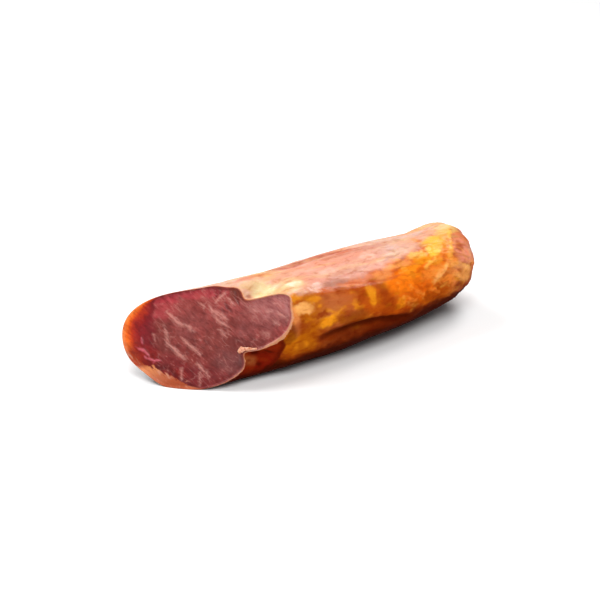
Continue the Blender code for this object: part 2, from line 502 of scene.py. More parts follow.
# Patches of the casing: place along in mm, turn, reach along in mm, reach round in degrees, colour, strength
CASING_PATCHES = {
    "rose crown": (12, 108, 10, 12, GREY_ROSE, 0.5),
    "red edge by the crown": (29, 105, 12, 7, CREASE_RED, 0.5),
    "rose field": (80, 66, 13, 12, ROSE, 0.45),
    "rose by the cream spot": (58, 72, 7, 9, ROSE, 0.6),
    "rose of the middle": (66, 68, 6, 8, WHITE_ROSE, 0.45),
    "rose patch": (92, 75, 4.5, 6, WHITE_ROSE, 0.6),
    "salmon back field": (84, 98, 12, 8, SALMON * 0.84, 0.75),
    "salmon by the crown": (38, 84, 7, 9, SALMON, 0.45),
    "salmon far top": (102, 94, 13, 8, SALMON * 0.8, 0.7),
    "rose far top": (128, 103, 18, 11, GREY_ROSE, 0.8),
    "red streak of the top": (84, 100, 5, 3.5, CREASE_RED, 0.55),
    "peach streak": (33, 88, 9, 4, PEACH_YELLOW, 0.5),
    "tan streak by the crown": (24, 92, 8, 3, PEACH_YELLOW, 0.6),
    "cream ridge by the crown": (27, 75, 5.5, 17, CREAM, 1.0),
    "cream by the corner": (34, 58, 5, 7, PEACH_YELLOW, 0.7),
    # The cream spot is pale fat, partly painted highlight; the white spot and the rose sheen are painted
    # highlights
    "cream spot": (41, 62, 5.5, 7, CREAM, 0.9),
    "white spot": (41.5, 62, 3.0, 4.5, HIGHLIGHT_CREAM, 0.9),
    "rose sheen": (51, 49.5, 6.5, 4.5, WHITE_ROSE, 0.95),
    "salmon under the sheen": (66, 46, 8, 8, SALMON * 0.68, 0.9),
    "salmon of the middle": (75, 57, 13, 6, SALMON * 0.82, 0.7),
    "dent in the crown": (19.5, 77, 1.6, 4, RED_BROWN, 0.5),
    "amber by the rim": (38, 44, 4.5, 6, GOLD, 0.7),
    "brown of the corner": (39, 36, 4.0, 2.6, ORANGE_BROWN, 0.5),
    "gold beside the brown": (47, 35, 3.4, 4, GOLD, 0.6),
    "yellow by the rim": (39.5, 28, 5.2, 5.0, RIDGE_CREAM * 0.86, 0.95),
    "peach side of the rim": (33.5, 20, 2.8, 14, PEACH_ORANGE, 0.6),
    "dark amber line": (47, 18, 5.5, 3.0, RED_BROWN, 0.85),
    "brown under the corner": (37, 10, 5, 6, RED_BROWN, 0.5),
    "amber window": (51.8, 8.2, 5.8, 6.5, GOLD, 1.0),
    "light low amber": (31, -1, 3.5, 5, GOLD, 0.35),
    # Painted shadow under the rim of the cut, in these two
    "shade beside the rim": (31, 6, 2.6, 9, DARK_BROWN, 0.6),
    "low shade beside the rim": (28, -3, 2.4, 6, DARK_BROWN, 0.5),
    # Painted shade where the front fold begins
    "shade where the fold begins": (52, -11, 9, 4, RED_BROWN, 0.75),
    "first brown": (55, 41.0, 6, 3.0, ORANGE_BROWN, 0.7),
    "second brown": (65, 34, 4.5, 5, RED_BROWN, 0.6),
    "mauve side": (61, 25, 8, 6.5, MAUVE_BROWN, 0.8),
    "deep orange": (74, 27, 4.0, 7, RED_BROWN, 0.45),
    "bright streak": (81.5, 21, 2.4, 10, GOLD, 0.8),
    "low side": (68, 3, 9, 7, OLIVE_BROWN, 0.7),
    "low brown side": (90, 0, 6, 6, RED_BROWN, 0.55),
    "brown side": (88, 21, 3.0, 8, RED_BROWN, 0.25),
    "light side of the middle": (93, 32, 5, 5, PEACH_ORANGE, 0.6),
    "peach side": (92, 39, 6, 6, PEACH_ORANGE, 0.75),
    "salmon band": (78, 42, 12, 4.5, SALMON_ORANGE, 0.7),
    "orange field": (103, 24, 10, 12, ORANGE, 1.0),
    "low orange field": (112, 8, 11, 9, DEEP_ORANGE, 0.8),
    "orange shoulder": (113, 35, 8, 8, BRIGHT_ORANGE, 0.9),
    "brown mark of the shoulder": (101, 58, 5, 3.5, SALMON * 0.75, 0.8),
    "peach shoulder": (104, 47, 10, 5.0, PEACH_ORANGE, 0.8),
    "gold above the orange": (120, 43, 5, 5, GOLD, 0.9),
    "cream gold shoulder": (118, 51, 5, 5.5, GOLD_CREAM, 0.8),
    "yellow shoulder": (128.5, 48, 4.2, 7.5, YELLOW, 1.0),
    "pale gold end": (134, 62, 8, 11, YELLOW, 0.7),
    "pink streak of the end": (126, 76, 2.4, 7, PEACH_ORANGE * 0.9, 0.6),
    "tan far top": (137, 90, 6, 9, TAN_ROSE * 0.95, 0.7),
    "pale end": (147, 76, 7, 10, PALE_YELLOW, 0.9),
    "cream of the end": (150, 90, 6, 10, CREAM, 0.8),
    "orange end": (134, 28, 6, 8, ORANGE, 0.6),
    "bright orange end": (123, 21, 8, 8, SOFT_ORANGE, 0.8),
    "low orange end": (130, 9, 6, 5, SOFT_ORANGE, 0.6),
    "deep spot of the end": (124, -2, 10, 6, DEEP_ORANGE * 0.52, 0.8),
    # Painted shade low on the shoulder, towards the underside
    "low shade of the shoulder": (112, -15, 9, 3, RED_BROWN, 0.6),
    "deep orange shoulder": (117, 33, 4.5, 4.5, DEEP_ORANGE, 0.9),
    "gold of the shoulder": (128, 35, 4, 5, GOLD, 0.7),
    "orange by the ridge": (137.5, 44, 3.5, 7, SOFT_ORANGE * 0.85, 0.8),
    "pink end": (149, 36, 6, 16, TIP_PINK, 0.9),
    "red spot of the end": (147, 42, 2.2, 8, CREASE_RED * 0.8, 0.9),
    "amber spot of the end": (139.5, 51, 3.6, 5, GOLD * 0.85, 0.8),
    "brown end": (130, -7, 11, 6, DEEP_ORANGE * 0.7, 0.7),
    # Painted highlight on a ridge of the end
    "light ridge of the end": (147, 2, 4.5, 13, CREST_HIGHLIGHT_PEACH, 0.9),
    "dark gap of the end": (151, 11, 1.6, 5, RED_BROWN, 0.6),
    "dark spot of the end": (141, -9, 2.5, 4, DARK_BROWN, 0.6),
}

# Dark red lines and pale streaks: width in mm, strength, colour, and place along and turn of each point
CASING_LINES = (
    (1.1, 0.40, PALE_YELLOW, ((136, 66), (146, 60), (154, 52))),
    (0.6, 0.70, CREASE_RED, ((62, 47), (72, 42), (84, 36), (96, 33), (106, 34))),
    (0.5, 0.60, CREASE_RED, ((50, 46), (57, 45), (64, 42))),
    (3.0, 0.65, EDGE_RED, ((38, 119), (52, 119), (64, 118), (74, 115), (84, 110))),
    (1.5, 0.70, EDGE_RED, ((70, 114), (78, 111), (87, 107), (95, 106), (101, 103))),
    (0.6, 0.45, RED_BROWN, ((102, 49), (106, 48), (110, 53))),
    # Painted shade where the front fold begins
    (1.8, 0.9, DARK_BROWN, ((44, -10.0), (50, -7.6), (56, -5.6), (62, -5.0), (70, -6.0))),
    (0.9, 0.75, RED_BROWN, ((139, 25), (145, 17), (151, 9))),
    (0.9, 0.60, RED_BROWN, ((128, 12), (133, 15), (138, 12))),
    (0.9, 0.75, RED_BROWN, ((141, 52), (138.5, 42), (138, 33))),
    (0.6, 0.65, RED_BROWN, ((139, 36), (146, 29), (152, 19))),
    (0.6, 0.60, CREASE_RED, ((137, 48), (143, 44), (149, 42), (154, 38))),
)

# Raised crests of the gathered end, their lighter colour partly painted highlight: width in mm, colour, and
# place along and turn of each point
CREST_LINES = (
    (1.1, GOLD_CREAM, ((152, 86), (146.5, 66), (143, 54), (138.5, 38), (135.5, 25))),
    (1.4, RIDGE_CREAM, ((134.5, 27), (140.5, 20), (147.5, 10), (153, 2))),
    (1.2, RIDGE_CREAM, ((121, 10), (127.5, 18.5), (133, 25), (136, 29))),
    (1.3, CREST_HIGHLIGHT_PEACH, ((135, 20), (141, 7), (147, -6))),
    (0.8, SOFT_ORANGE, ((108, 12), (112, 7), (115, 2))),
    (0.8, SOFT_ORANGE, ((103, 7), (107, 2), (110, -2))),
    (0.9, GOLD_CREAM, ((118, 30), (123, 35), (129, 37))),
    (0.8, SOFT_ORANGE, ((118, 6), (123, 1), (127, -3))),
)
CREST_HEIGHT = 0.45

# Relief of the casing: height in mm, and size in mm and seed of its noise
FILM_WAVES = ((0.06, (16, 2.4, 2.4), 101), (0.12, (7, 4.5, 4.5), 111))
FILM_FOLDS = ((0.12, (15, 4.5, 4.5), 131), (0.06, (5, 6, 6), 141))
FINE_HEIGHT = 0.025
END_CREST_HEIGHT = 0.7
END_SINK = 0.45

# The line of painted shade in the front fold: place along in mm and turn of each point
FOLD_LINE = (
    (46, -9.3), (53, -7.4), (61, -6.2), (70, -6.2),
    (80, -7.9), (92, -12.4), (104, -18.2), (114, -22.5),
)
FOLD_LINE_WIDTH = 1.1
UNDER_FOLD_SHADE_WIDTH = 3.08
UNDER_FOLD_SHADE_TURN = 3.0

# The dark red side of the hollow under the notch ends at this edge: turn and place along in mm
HOLLOW_EDGE = ((-60, 6.0), (-42, 21.0), (-26, 26.5), (-8, 28.5), (0, 27.0), (6, 20.0))
ARC_MM_PER_DEGREE = 0.42

# Cream edge of the casing beside the cut: turn and width in mm
CASING_LIP = (
    (-60, 0.2), (-35, 0.3), (-20, 0.4), (-11, 0.5), (-7, 1.5),
    (3, 1.7), (9, 1.2), (30, 0.5), (60, 0.4), (150, 0.2),
)
LIP_REACH = 14.0 * MM


def fade(distance, softness):
    """1 inside a patch, falling to 0 past its edge, where distance is in units of its reach."""
    return ease((1.0 + softness - distance) / (2.0 * softness))


def distance_to_line(spots, points):
    """Distance from each spot to an open line of points, and how far along the line it is, from 0 to 1."""
    points = np.array(points, float)
    lengths = np.hypot(*np.diff(points, axis=0).T)
    before = np.concatenate([[0.0], np.cumsum(lengths)])
    nearest = np.full(spots.shape[:-1], FAR_OFF)
    place = np.zeros(spots.shape[:-1])
    for index, (start, end) in enumerate(zip(points[:-1], points[1:])):
        off, share = distance_to_step(spots, start, end - start)
        closer = off < nearest
        nearest = np.where(closer, off, nearest)
        place = np.where(closer, before[index] + share * lengths[index], place)
    return nearest, place / before[-1]


def distance_to_step(spots, start, step):
    """Distance from each spot to one step of a line, and the share of the step where it is nearest."""
    share = np.clip(((spots - start) @ step) / max(step @ step, 1e-9), 0.0, 1.0)
    return np.linalg.norm(spots - start - share[..., None] * step, axis=-1), share


def line_strength(place, turn, width, line):
    """1 on a line over the casing, falling to 0 beside it and towards its ends."""
    spots = np.stack([place, turn * ARC_MM_PER_DEGREE], axis=-1)
    off, share = distance_to_line(spots, [(along, round_it * ARC_MM_PER_DEGREE) for along, round_it in line])
    return ease(1.5 - off / width) * (1.0 - np.abs(2.0 * share - 1.0) ** 4)


def plain_casing_tint(place, turn, points):
    """A salmon upper side over amber to orange flanks, all mottled; the pale upper side is partly painted
    sheen.
    """
    flank = mottled(between(place, FLANK_COLOURS), points, FLANK_MOTTLE)
    upper = mottled(between(place, UPPER_COLOURS), points, UPPER_MOTTLE)
    mirrored = np.where(turn > TOP_TURN, 2.0 * TOP_TURN - turn, turn)
    rise = (mirrored - between(place, UPPER_EDGE)) / between(place, UPPER_SOFTNESS)
    return mix_in(flank, upper, ease(rise + 0.5))


def patched(tint, place, turn):
    for patch_place, patch_turn, reach, turn_reach, colour, strength in CASING_PATCHES.values():
        off_turn = (turn - patch_turn + 180.0) % 360.0 - 180.0
        off = np.hypot((place - patch_place) / reach, off_turn / turn_reach)
        tint = mix_in(tint, colour, strength * fade(off, PATCH_SOFTNESS))
    return tint


def flecked_shoulder(tint, place, turn, points):
    """The orange shoulder of the gathered end is flecked with red brown and pale gold."""
    low = ease((SHOULDER_TOP - turn) / SHOULDER_TOP_SOFTNESS)
    return mottled(tint, points, SHOULDER_FLECKS, window(place, *SHOULDER_ALONG) * low)


def painted_shade_below(tint, place, turn):
    """Painted shade: the flank darkens towards the underside, on the front and on the back."""
    edge = between(place, PAINTED_SHADE_EDGE)
    front = np.where(turn > UNDER_TURN, turn, -BACK_SHIFT - turn)
    front = np.where(turn > TOP_TURN, BACK_SHIFT - turn, front)
    for colour, strength, rise, softness in PAINTED_UNDERSIDE_SHADES:
        tint = mix_in(tint, colour, strength * ease((edge + rise - front) / softness))
    return tint


def gathered_tint(tint, along, angle, points):
    """The very end is mottled pink, amber and brown all round, with painted shade in its pleats and its
    pucker.
    """
    place = along / MM
    end = mottled(np.broadcast_to(CREASE_RED, points.shape), points, END_MOTTLE)
    end = mix_in(end, DARK_BROWN, 0.6 * ease(1.6 * pleat_depth(along, angle) / PLEAT_DEPTH - 0.3))
    end = mix_in(end, DARK_BROWN, 0.8 * ease((place - PUCKER_SHADE_START) / PUCKER_SHADE_REACH))
    return mix_in(tint, end, 0.85 * ease((place - END_START) / END_REACH))


def hollow_tint(tint, along, angle, turn, points):
    """The dark red side of the hollow under the notch, with painted shade low down and beside its edge, and
    one spot.
    """
    place = along / MM
    degrees = np.degrees(angle)
    edge = between(degrees, HOLLOW_EDGE)
    inside = ease(edge - place) * window(degrees, *HOLLOW_ROUND)
    tint = mix_in(tint, HOLLOW_RED, 0.95 * inside)
    tint = mottled(tint, points, HOLLOW_MOTTLE, inside)
    # Painted shade low in the hollow and beside its edge
    low = ease((HOLLOW_SHADE_TURN - degrees) / HOLLOW_SHADE_SOFTNESS)
    shade_by_edge = bell(edge - place - HOLLOW_EDGE_SHADE, HOLLOW_EDGE_SHADE_WIDTH)
    tint = mix_in(tint, PAINTED_SHADE_BROWN, 0.85 * inside * low)
    tint = mix_in(tint, PAINTED_SHADE_BROWN, 0.55 * inside * shade_by_edge)
    off_place = (place - HOLLOW_SPOT_PLACE) / HOLLOW_SPOT_REACH
    off_turn = (turn - HOLLOW_SPOT_TURN) / HOLLOW_SPOT_TURN_REACH
    return mottled(tint, points, HOLLOW_SPOT, inside * fade(np.hypot(off_place, off_turn), 0.6))


def folded(tint, place, turn):
    """Painted shade: the dark line in the front fold and the softer shade under it."""
    under_fold_shade = line_strength(place, turn + UNDER_FOLD_SHADE_TURN, UNDER_FOLD_SHADE_WIDTH, FOLD_LINE)
    tint = mix_in(tint, DARK_BROWN, 0.8 * under_fold_shade)
    return mix_in(tint, DARK_BROWN * 0.85, 0.95 * line_strength(place, turn, FOLD_LINE_WIDTH, FOLD_LINE))


def casing_tint(along, angle, points):
    place = wavered(along / MM, points, PLACE_WAVES)
    turn = wavered(np.degrees(angle), points, TURN_WAVES)
    line_place = wavered(along / MM, points, LINE_PLACE_WAVES)
    line_turn = wavered(np.degrees(angle), points, LINE_TURN_WAVES)
    broken = wavered(0.75, points, LINE_BREAKS)
    tint = patched(plain_casing_tint(place, turn, points), place, turn)
    tint = flecked_shoulder(tint, place, turn, points)
    for width, strength, colour, line in CASING_LINES:
        tint = mix_in(tint, colour, strength * broken * line_strength(line_place, line_turn, width, line))
    # Painted highlight on the crests of the gathered end, on the side towards the light
    crest_highlight = ease((place - LIT_START) / LIT_SOFTNESS) * ease((turn - LIT_TURN) / LIT_SOFTNESS)
    tint = mix_in(tint, CREST_HIGHLIGHT_PEACH, 0.40 * crest_highlight * end_crests(along, angle) ** 1.5)
    tint = painted_shade_below(tint, place, turn)
    for (_, colour, _), strength in zip(CREST_LINES, crest_line_strengths(along, angle, points)):
        tint = mix_in(tint, colour, 0.85 * broken * strength)
    tint = folded(tint, line_place, line_turn)
    # Painted shade in the pleats
    tint = mix_in(tint, RED_BROWN, 0.2 * ease(1.5 * pleat_depth(along, angle) / PLEAT_DEPTH - 0.3))
    tint = gathered_tint(tint, along, angle, points)
    return hollow_tint(tint, along, angle, turn, points)


def fine_folds(points, size, seed):
    """Sharp narrow valleys, 0 to 1, between smooth fields."""
    field = np.abs(layered_noise(points, size, seed, layers=2))
    return np.clip(1.0 - 5.0 * field, 0.0, 1.0) ** 1.5


def gathering(along):
    """0 along the body, rising to 1 where the casing is gathered."""
    return ease((along / MM - GATHER_START) / GATHER_REACH)


def end_crests(along, angle):
    """Narrow crests, 0 to 1, which wind round the gathered end as its pleats do."""
    turned = angle + np.radians(PLEAT_TWIST_PER_MM) * (along - PLEAT_START) / MM
    wound = np.stack([along, WRINKLE_RADIUS * np.cos(turned), WRINKLE_RADIUS * np.sin(turned)], axis=-1)
    long_crests = fine_folds(wound, (15, 6, 6), 151)
    short_crests = fine_folds(wound, (7, 3.4, 3.4), 161)
    return gathering(along) * np.maximum(long_crests, 0.7 * short_crests)


def crest_line_strengths(along, angle, points):
    """How far each place is on each of the crest lines, 0 to 1; the lines waver."""
    place = wavered(along / MM, points, CREST_PLACE_WAVES)
    turn = wavered(np.degrees(angle), points, CREST_TURN_WAVES)
    return [line_strength(place, turn, width, line) for width, _, line in CREST_LINES]


def casing_relief(points, along, angle):
    """Fine wrinkles that run with the loin, shallow dents, a crinkled film and a folded end, in metres."""
    film = wavered(0.0, points, FILM_WAVES)
    for height, size, seed in FILM_FOLDS:
        film = film - height * fine_folds(points, size, seed)
    film = film + FINE_HEIGHT * layered_noise(points, (2.6, 1.0, 1.0), 121, layers=2)
    crests = CREST_HEIGHT * np.maximum.reduce(crest_line_strengths(along, angle, points))
    gathered = END_CREST_HEIGHT * end_crests(along, angle) - END_SINK * gathering(along)
    return (film + crests + gathered) * MM


def face_spots(points):
    """Face millimetres of points that lie near the cut plane."""
    return np.stack([points @ LEVEL, points @ UPHILL], axis=-1) / MM


def face_direction(spots):
    """Direction of each spot from the middle of the face, in degrees from level."""
    return np.degrees(np.arctan2(spots[..., 1], spots[..., 0]))


def rim_distance(spots, rim):
    """Distance in mm from each spot on the face to the rim."""
    steps = zip(rim, np.roll(rim, -1, axis=0))
    return np.minimum.reduce([distance_to_step(spots, start, end - start)[0] for start, end in steps])


def streak_field(spots, points, streaks):
    """How many mm inside a streak each spot is, negative outside; each streak tapers to its ends."""
    level = wavered(spots[..., 0], points, STREAK_LEVEL_WAVES)
    uphill = wavered(spots[..., 1], points, STREAK_UPHILL_WAVES)
    wandered = np.stack([level, uphill], axis=-1)
    field = np.full(spots.shape[:-1], OUTSIDE)
    for width, line in streaks:
        off, share = distance_to_line(wandered, line)
        taper = 1.0 - STREAK_TAPER * np.abs(2.0 * share - 1.0) ** 2.5
        field = np.maximum(field, width * taper - off)
    return field + STREAK_ROUGHNESS * layered_noise(points, 1.2, 231, layers=2)


# Colours of the cut meat
MEAT = paint(131, 55, 49)
MEAT_MAUVE = paint(149, 77, 73)
MEAT_GREY = paint(111, 57, 55)
MEAT_DARK = paint(104, 38, 34)
MEAT_CRIMSON = paint(122, 28, 31)
MEAT_BROWN = paint(106, 40, 22)
MEAT_ROSE = paint(162, 70, 66)
FAT_PINK = paint(182, 122, 112)
# Pink of the raised curls low on the left, partly painted wet highlight
WET_HIGHLIGHT_PINK = paint(206, 98, 110)
MEAT_SHADE = paint(206, 180, 180)
PEACH = paint(186, 102, 66)
LIGHT_PEACH = paint(228, 148, 94)
UMBER = paint(152, 52, 16)
BURNT_PEACH = paint(164, 74, 38)
CREAM_PEACH = paint(202, 148, 122)
FAT_PALE = paint(200, 132, 120)
FAT_CREAM = paint(224, 164, 134)
WET_CRIMSON = paint(92, 14, 16)
DEEP_RED = paint(128, 20, 12)
LIP_MAUVE = paint(176, 116, 106)
UPPER_CRIMSON = paint(158, 46, 54)
BRIGHT_CRIMSON = paint(174, 52, 62)
# Pink for the painted wet highlight along the upper edge
EDGE_HIGHLIGHT_PINK = paint(190, 64, 72)
MAUVE_PALE = paint(174, 105, 101)
MEAT_RED = paint(124, 43, 38)

# Fat between the meat and the rim of the face: direction from the face's middle, width in mm, colour
RIM_FAT = (
    (-168, 0.0, UMBER),
    (-160, 2.6, UMBER),
    (-154, 3.6, UMBER),
    (-150, 5.0, LIGHT_PEACH),
    (-147, 5.0, LIGHT_PEACH),
    (-139, 5.0, PEACH),
    (-127, 4.8, BURNT_PEACH),
    (-115, 3.2, BURNT_PEACH),
    (-107, 1.5, PEACH),
    # Along the bottom edge the band is painted shade
    (-94, 0.4, MEAT_BROWN),
    (-72, 0.4, LIP_MAUVE),
    (-53, 0.6, LIP_MAUVE),
    (-36, 0.5, LIP_MAUVE),
    (-25, 0.3, MEAT_BROWN),
    (-15, 0.6, CREAM_PEACH),
    (-12, 0.4, LIP_MAUVE),
    (-8, 0.5, LIP_MAUVE),
    (-4, 0.8, CREAM_PEACH),
    (1, 0.8, CREAM_PEACH),
    (10, 0.6, CREAM_PEACH),
    (18, 0.5, CREAM_PEACH),
    (26, 0.5, TAN),
    (34, 0.5, PEACH_YELLOW),
    (46, 0.6, PEACH_YELLOW),
    (54, 0.6, PEACH),
    (62, 0.5, BURNT_PEACH),
    (72, 0.4, BURNT_PEACH),
    (88, 0.3, BURNT_PEACH),
    (112, 0.3, BURNT_PEACH),
    (146, 0.3, BURNT_PEACH),
    (161, 0.0, BURNT_PEACH),
)

# The thin left edge, with a painted glow of light coming through it: direction from the face's middle and
# reach in mm
THIN_EDGE = (
    (146, 0.0), (153, 1.8), (161, 6.5), (170, 12.5),
    (182, 17.0), (198, 14.5), (209, 10.0), (219, 0.0),
)

# Colours of the thin edge's painted glow, by share of its reach, and where its foot is deep red
THIN_EDGE_GLOW_COLOURS = (
    (0.00, paint(240, 146, 76)),
    (0.10, paint(238, 118, 38)),
    (0.22, paint(214, 82, 14)),
    (0.33, paint(182, 46, 12)),
    (0.45, paint(150, 24, 16)),
    (0.60, paint(128, 16, 24)),
    (0.85, paint(120, 26, 32)),
    (1.00, MEAT),
)
FOOT_DIRECTION = -138.0
FOOT_DIRECTION_SOFTNESS = 10.0
FOOT_HEIGHT = -4.0
FOOT_HEIGHT_SOFTNESS = 8.0

# Patches of the cut meat: place level and uphill in mm, reach each way, colour, strength
MEAT_PATCHES = {
    "mauve right lobe": (27, 14, 14, 9, MEAT_MAUVE, 0.7),
    "pale mauve lobe": (29, 18, 10, 6, MAUVE_PALE, 0.8),
    "dark foot of the lobe": (20, -2, 7, 3.5, MEAT_DARK, 0.4),
    "rose middle": (2, 16, 9, 8, MEAT_ROSE, 0.65),
    "crimson upper left": (-30, 13, 8, 6, BRIGHT_CRIMSON, 0.85),
    "red lower middle": (-8, -13, 10, 7, MEAT_RED, 0.75),
    "mauve middle": (-12, 7, 8, 6, MEAT_MAUVE, 0.35),
    "red upper middle": (-8, 16, 5, 4, MEAT_RED, 0.6),
    "mauve by the crown": (12, 16, 4, 4, MEAT_MAUVE, 0.45),
    "rose shoulder": (-22, 14, 12, 6, MEAT_ROSE, 0.5),
    "rose upper edge": (-14, 20, 17, 3.0, MEAT_ROSE, 0.55),
    "crimson crown": (2, 23, 7, 3.5, UPPER_CRIMSON, 0.7),
    "brown crown edge": (9, 22, 3, 4.5, MEAT_BROWN, 0.8),
    "grey lobe by the notch": (10, -12, 8, 6, MEAT_GREY, 0.75),
    "dark foot": (0, -21, 13, 5.5, MEAT_CRIMSON * 0.85, 0.75),
    "dark middle": (13, -3, 7, 3.5, MEAT_DARK, 0.6),
    "crimson foot": (-12, -21, 9, 5.5, MEAT_CRIMSON * 0.9, 0.95),
    "crimson heel": (-24, -15.5, 11, 4.5, MEAT_CRIMSON, 0.75),
    "dark crimson side": (-33, -8, 5.5, 10, MEAT_CRIMSON * 0.6, 0.9),
    "dark crimson foot": (-25, -17.5, 8, 1.8, WET_CRIMSON, 0.8),
    "dark crimson sole": (-18, -20, 7, 2.4, DEEP_RED, 0.8),
    # Painted wet highlights along the upper edge, in these three
    "wet pink edge": (-26, 16.6, 6, 1.8, EDGE_HIGHLIGHT_PINK, 0.85),
    "second pink edge": (-13, 20.4, 5, 1.6, EDGE_HIGHLIGHT_PINK, 0.7),
    "third pink edge": (-4, 21.6, 3.5, 1.8, EDGE_HIGHLIGHT_PINK, 0.5),
    "mauve between the streaks": (-14, 0, 4, 3, MEAT_MAUVE, 0.5),
    "mauve foot of the lobe": (16, 5, 4, 3.5, MEAT_MAUVE, 0.6),
    "rose edge of the lobe": (34, 5, 4, 4, MEAT_ROSE, 0.7),
    "rose by the crown": (10, 17, 3.5, 3.5, MEAT_ROSE, 0.5),
}

# Streaks of fat on the cut face: half width in mm, and the points of each in face millimetres
STREAKS = (
    (0.50, ((-25.0, 10.6), (-22.4, 9.0), (-19.3, 6.6), (-15.4, 4.4))),
    (0.31, ((-17.6, 5.6), (-13.8, 4.2), (-9.6, 1.6))),
    (0.28, ((-25.4, 3.6), (-24.2, 0.4), (-23.0, -3.0), (-21.6, -5.6))),
    (0.75, ((-23.4, -4.4), (-20.4, -7.0), (-17.4, -9.2), (-12.6, -11.6))),
    (0.34, ((-16.8, -9.8), (-14.6, -11.6), (-12.6, -12.2))),
    (0.46, ((-16.2, -1.6), (-12.0, -4.8), (-8.6, -6.8), (-5.4, -9.0))),
    (0.59, ((-3.2, 15.8), (-2.0, 13.4), (0.6, 11.0), (3.8, 9.4))),
    (0.50, ((-0.6, 13.0), (2.6, 11.4), (6.4, 8.6))),
    (0.43, ((-1.4, 10.4), (1.6, 8.2), (4.2, 6.6), (7.6, 5.4))),
    (0.37, ((3.8, 22.6), (1.6, 19.8), (-0.4, 17.4))),
    (0.31, ((4.6, 19.6), (7.4, 18.0), (9.0, 16.6))),
    (0.34, ((-6.4, -13.4), (-3.4, -16.6), (-0.6, -19.4))),
    (0.25, ((-14.2, -17.2), (-13.6, -20.2), (-13.2, -22.4))),
    (0.25, ((-5.2, -18.6), (-4.6, -21.4), (-4.0, -24.0))),
    (0.37, ((2.6, 3.6), (5.0, 2.2), (6.6, 0.6))),
    (0.37, ((24.4, 15.0), (26.4, 15.2), (28.4, 15.2))),
    (0.28, ((31.6, 14.4), (34.4, 13.0), (36.6, 11.8))),
    (0.25, ((29.4, 10.6), (32.2, 8.8))),
    (0.25, ((24.8, 4.8), (27.6, 3.4))),
    (0.22, ((29.0, 18.8), (31.8, 17.6))),
    (0.22, ((18.6, 15.8), (21.0, 14.4))),
    (0.19, ((-8.6, 16.2), (-6.2, 15.0))),
    (0.19, ((-30.4, -1.0), (-28.6, -4.2))),
)
# Raised curls of fat low on the left, their pink partly painted wet highlight: half width in mm, and points
# in face millimetres
WET_CURLS = (
    (0.60, ((-36.6, -3.0), (-36.0, -4.6), (-35.4, -6.4))),
    (0.60, ((-38.6, -8.3), (-34.5, -9.6), (-31.2, -11.8), (-31.0, -13.4))),
    (0.60, ((-33.6, -12.4), (-31.8, -13.6), (-29.0, -14.4), (-27.4, -14.6))),
    (0.45, ((-28.6, -15.4), (-27.0, -14.2), (-25.2, -14.6))),
)
DARK_STREAKS = (
    (0.85, ((-3.0, 24.6), (0.2, 21.6), (-0.6, 19.4))),
    (0.70, ((2.2, 24.8), (1.4, 22.4), (2.2, 20.6))),
    (0.80, ((4.2, 17.4), (6.6, 14.4), (8.8, 12.8))),
    (0.50, ((2.6, 14.6), (4.8, 12.8), (7.0, 12.0))),
    (0.60, ((9.0, 22.6), (9.8, 19.4), (11.6, 16.6))),
    (0.90, ((-37.6, -13.2), (-34.0, -16.6), (-29.0, -17.2), (-24.6, -17.0))),
    (0.80, ((-24.0, -16.4), (-19.4, -18.2), (-15.0, -20.6))),
    (0.90, ((-15.0, -20.4), (-11.0, -22.8), (-7.4, -25.2))),
    (0.60, ((-16.8, -19.0), (-16.0, -23.2))),
    (0.60, ((-10.6, -20.6), (-9.8, -25.0))),
    (0.50, ((-20.6, -17.6), (-20.2, -20.8))),
)

# A curl of fat that stands on the face by the notch: radius in mm, level, uphill and height over the cut
FAT_CURL = (
    (0.30, 22.8, -4.2, -0.3),
    (0.50, 20.9, -4.3, 0.1),
    (0.80, 19.5, -4.3, 0.5),
    (1.05, 18.3, -4.6, 0.7),
    (0.85, 16.8, -4.6, 0.6),
    (1.35, 15.2, -5.0, 0.6),
    (1.20, 14.2, -5.9, 0.4),
    (0.60, 13.9, -7.0, 0.0),
)
FAT_CURL_STEPS = 48
FAT_CURL_SIDES = 24
FAT_CURL_SMOOTHING = 5
FAT_CURL_FLATNESS = 0.6
FAT_CURL_END = 0.2
FAT_CURL_LUMPS = ((0.36, 1.8, 501), (0.16, 0.8, 511))


# Mottle, wavering and relief of the face, and where round it each part lies
MEAT_MOTTLE = ((MEAT_DARK, 0.5, 1.2, 0.1, 8, 301), (MEAT_ROSE, 0.4, 1.5, -0.1, 4, 311))
MEAT_PATCH_SOFTNESS = 0.45
LEVEL_WAVES = ((1.5, 5, 321),)
UPHILL_WAVES = ((1.5, 5, 331),)
STREAK_LEVEL_WAVES = ((0.7, 4, 211),)
STREAK_UPHILL_WAVES = ((0.7, 4, 221),)
UPPER_RIM_WAVES = ((0.9, 3.5, 361),)
OUTLINE_ROUND = (45.0, 12.0, 160.0, 14.0)
UPPER_RIM_ROUND = (88.0, 12.0, 166.0, 10.0)
RIM_LIPS = ((0.28, 0.5, 0.32), (-0.20, 1.6, 0.7))
GRAIN_HEIGHT = 0.06
WAVE_HEIGHT = 0.16
STREAK_TAPER = 0.8
STREAK_ROUGHNESS = 0.22
STREAK_HEIGHT = 0.12
CURL_HEIGHT = 0.42
CLEFT_DEPTH = 0.16


def thin_share(direction, to_rim, points):
    """How far in from the rim a spot is, as a share of the thin edge, and how strongly the painted glow of
    light through it shows.
    """
    reach = between(direction, THIN_EDGE, period=360.0) + 1e-6
    wander = 0.5 * layered_noise(points, 2, 341) + 1.6 * layered_noise(points, 7, 345, layers=2)
    share = (to_rim + wander * ease(to_rim / 6.0)) / reach
    return np.clip(share, 0.0, 1.0), ease((1.0 - share) / 0.25) * ease(reach / 3.0)


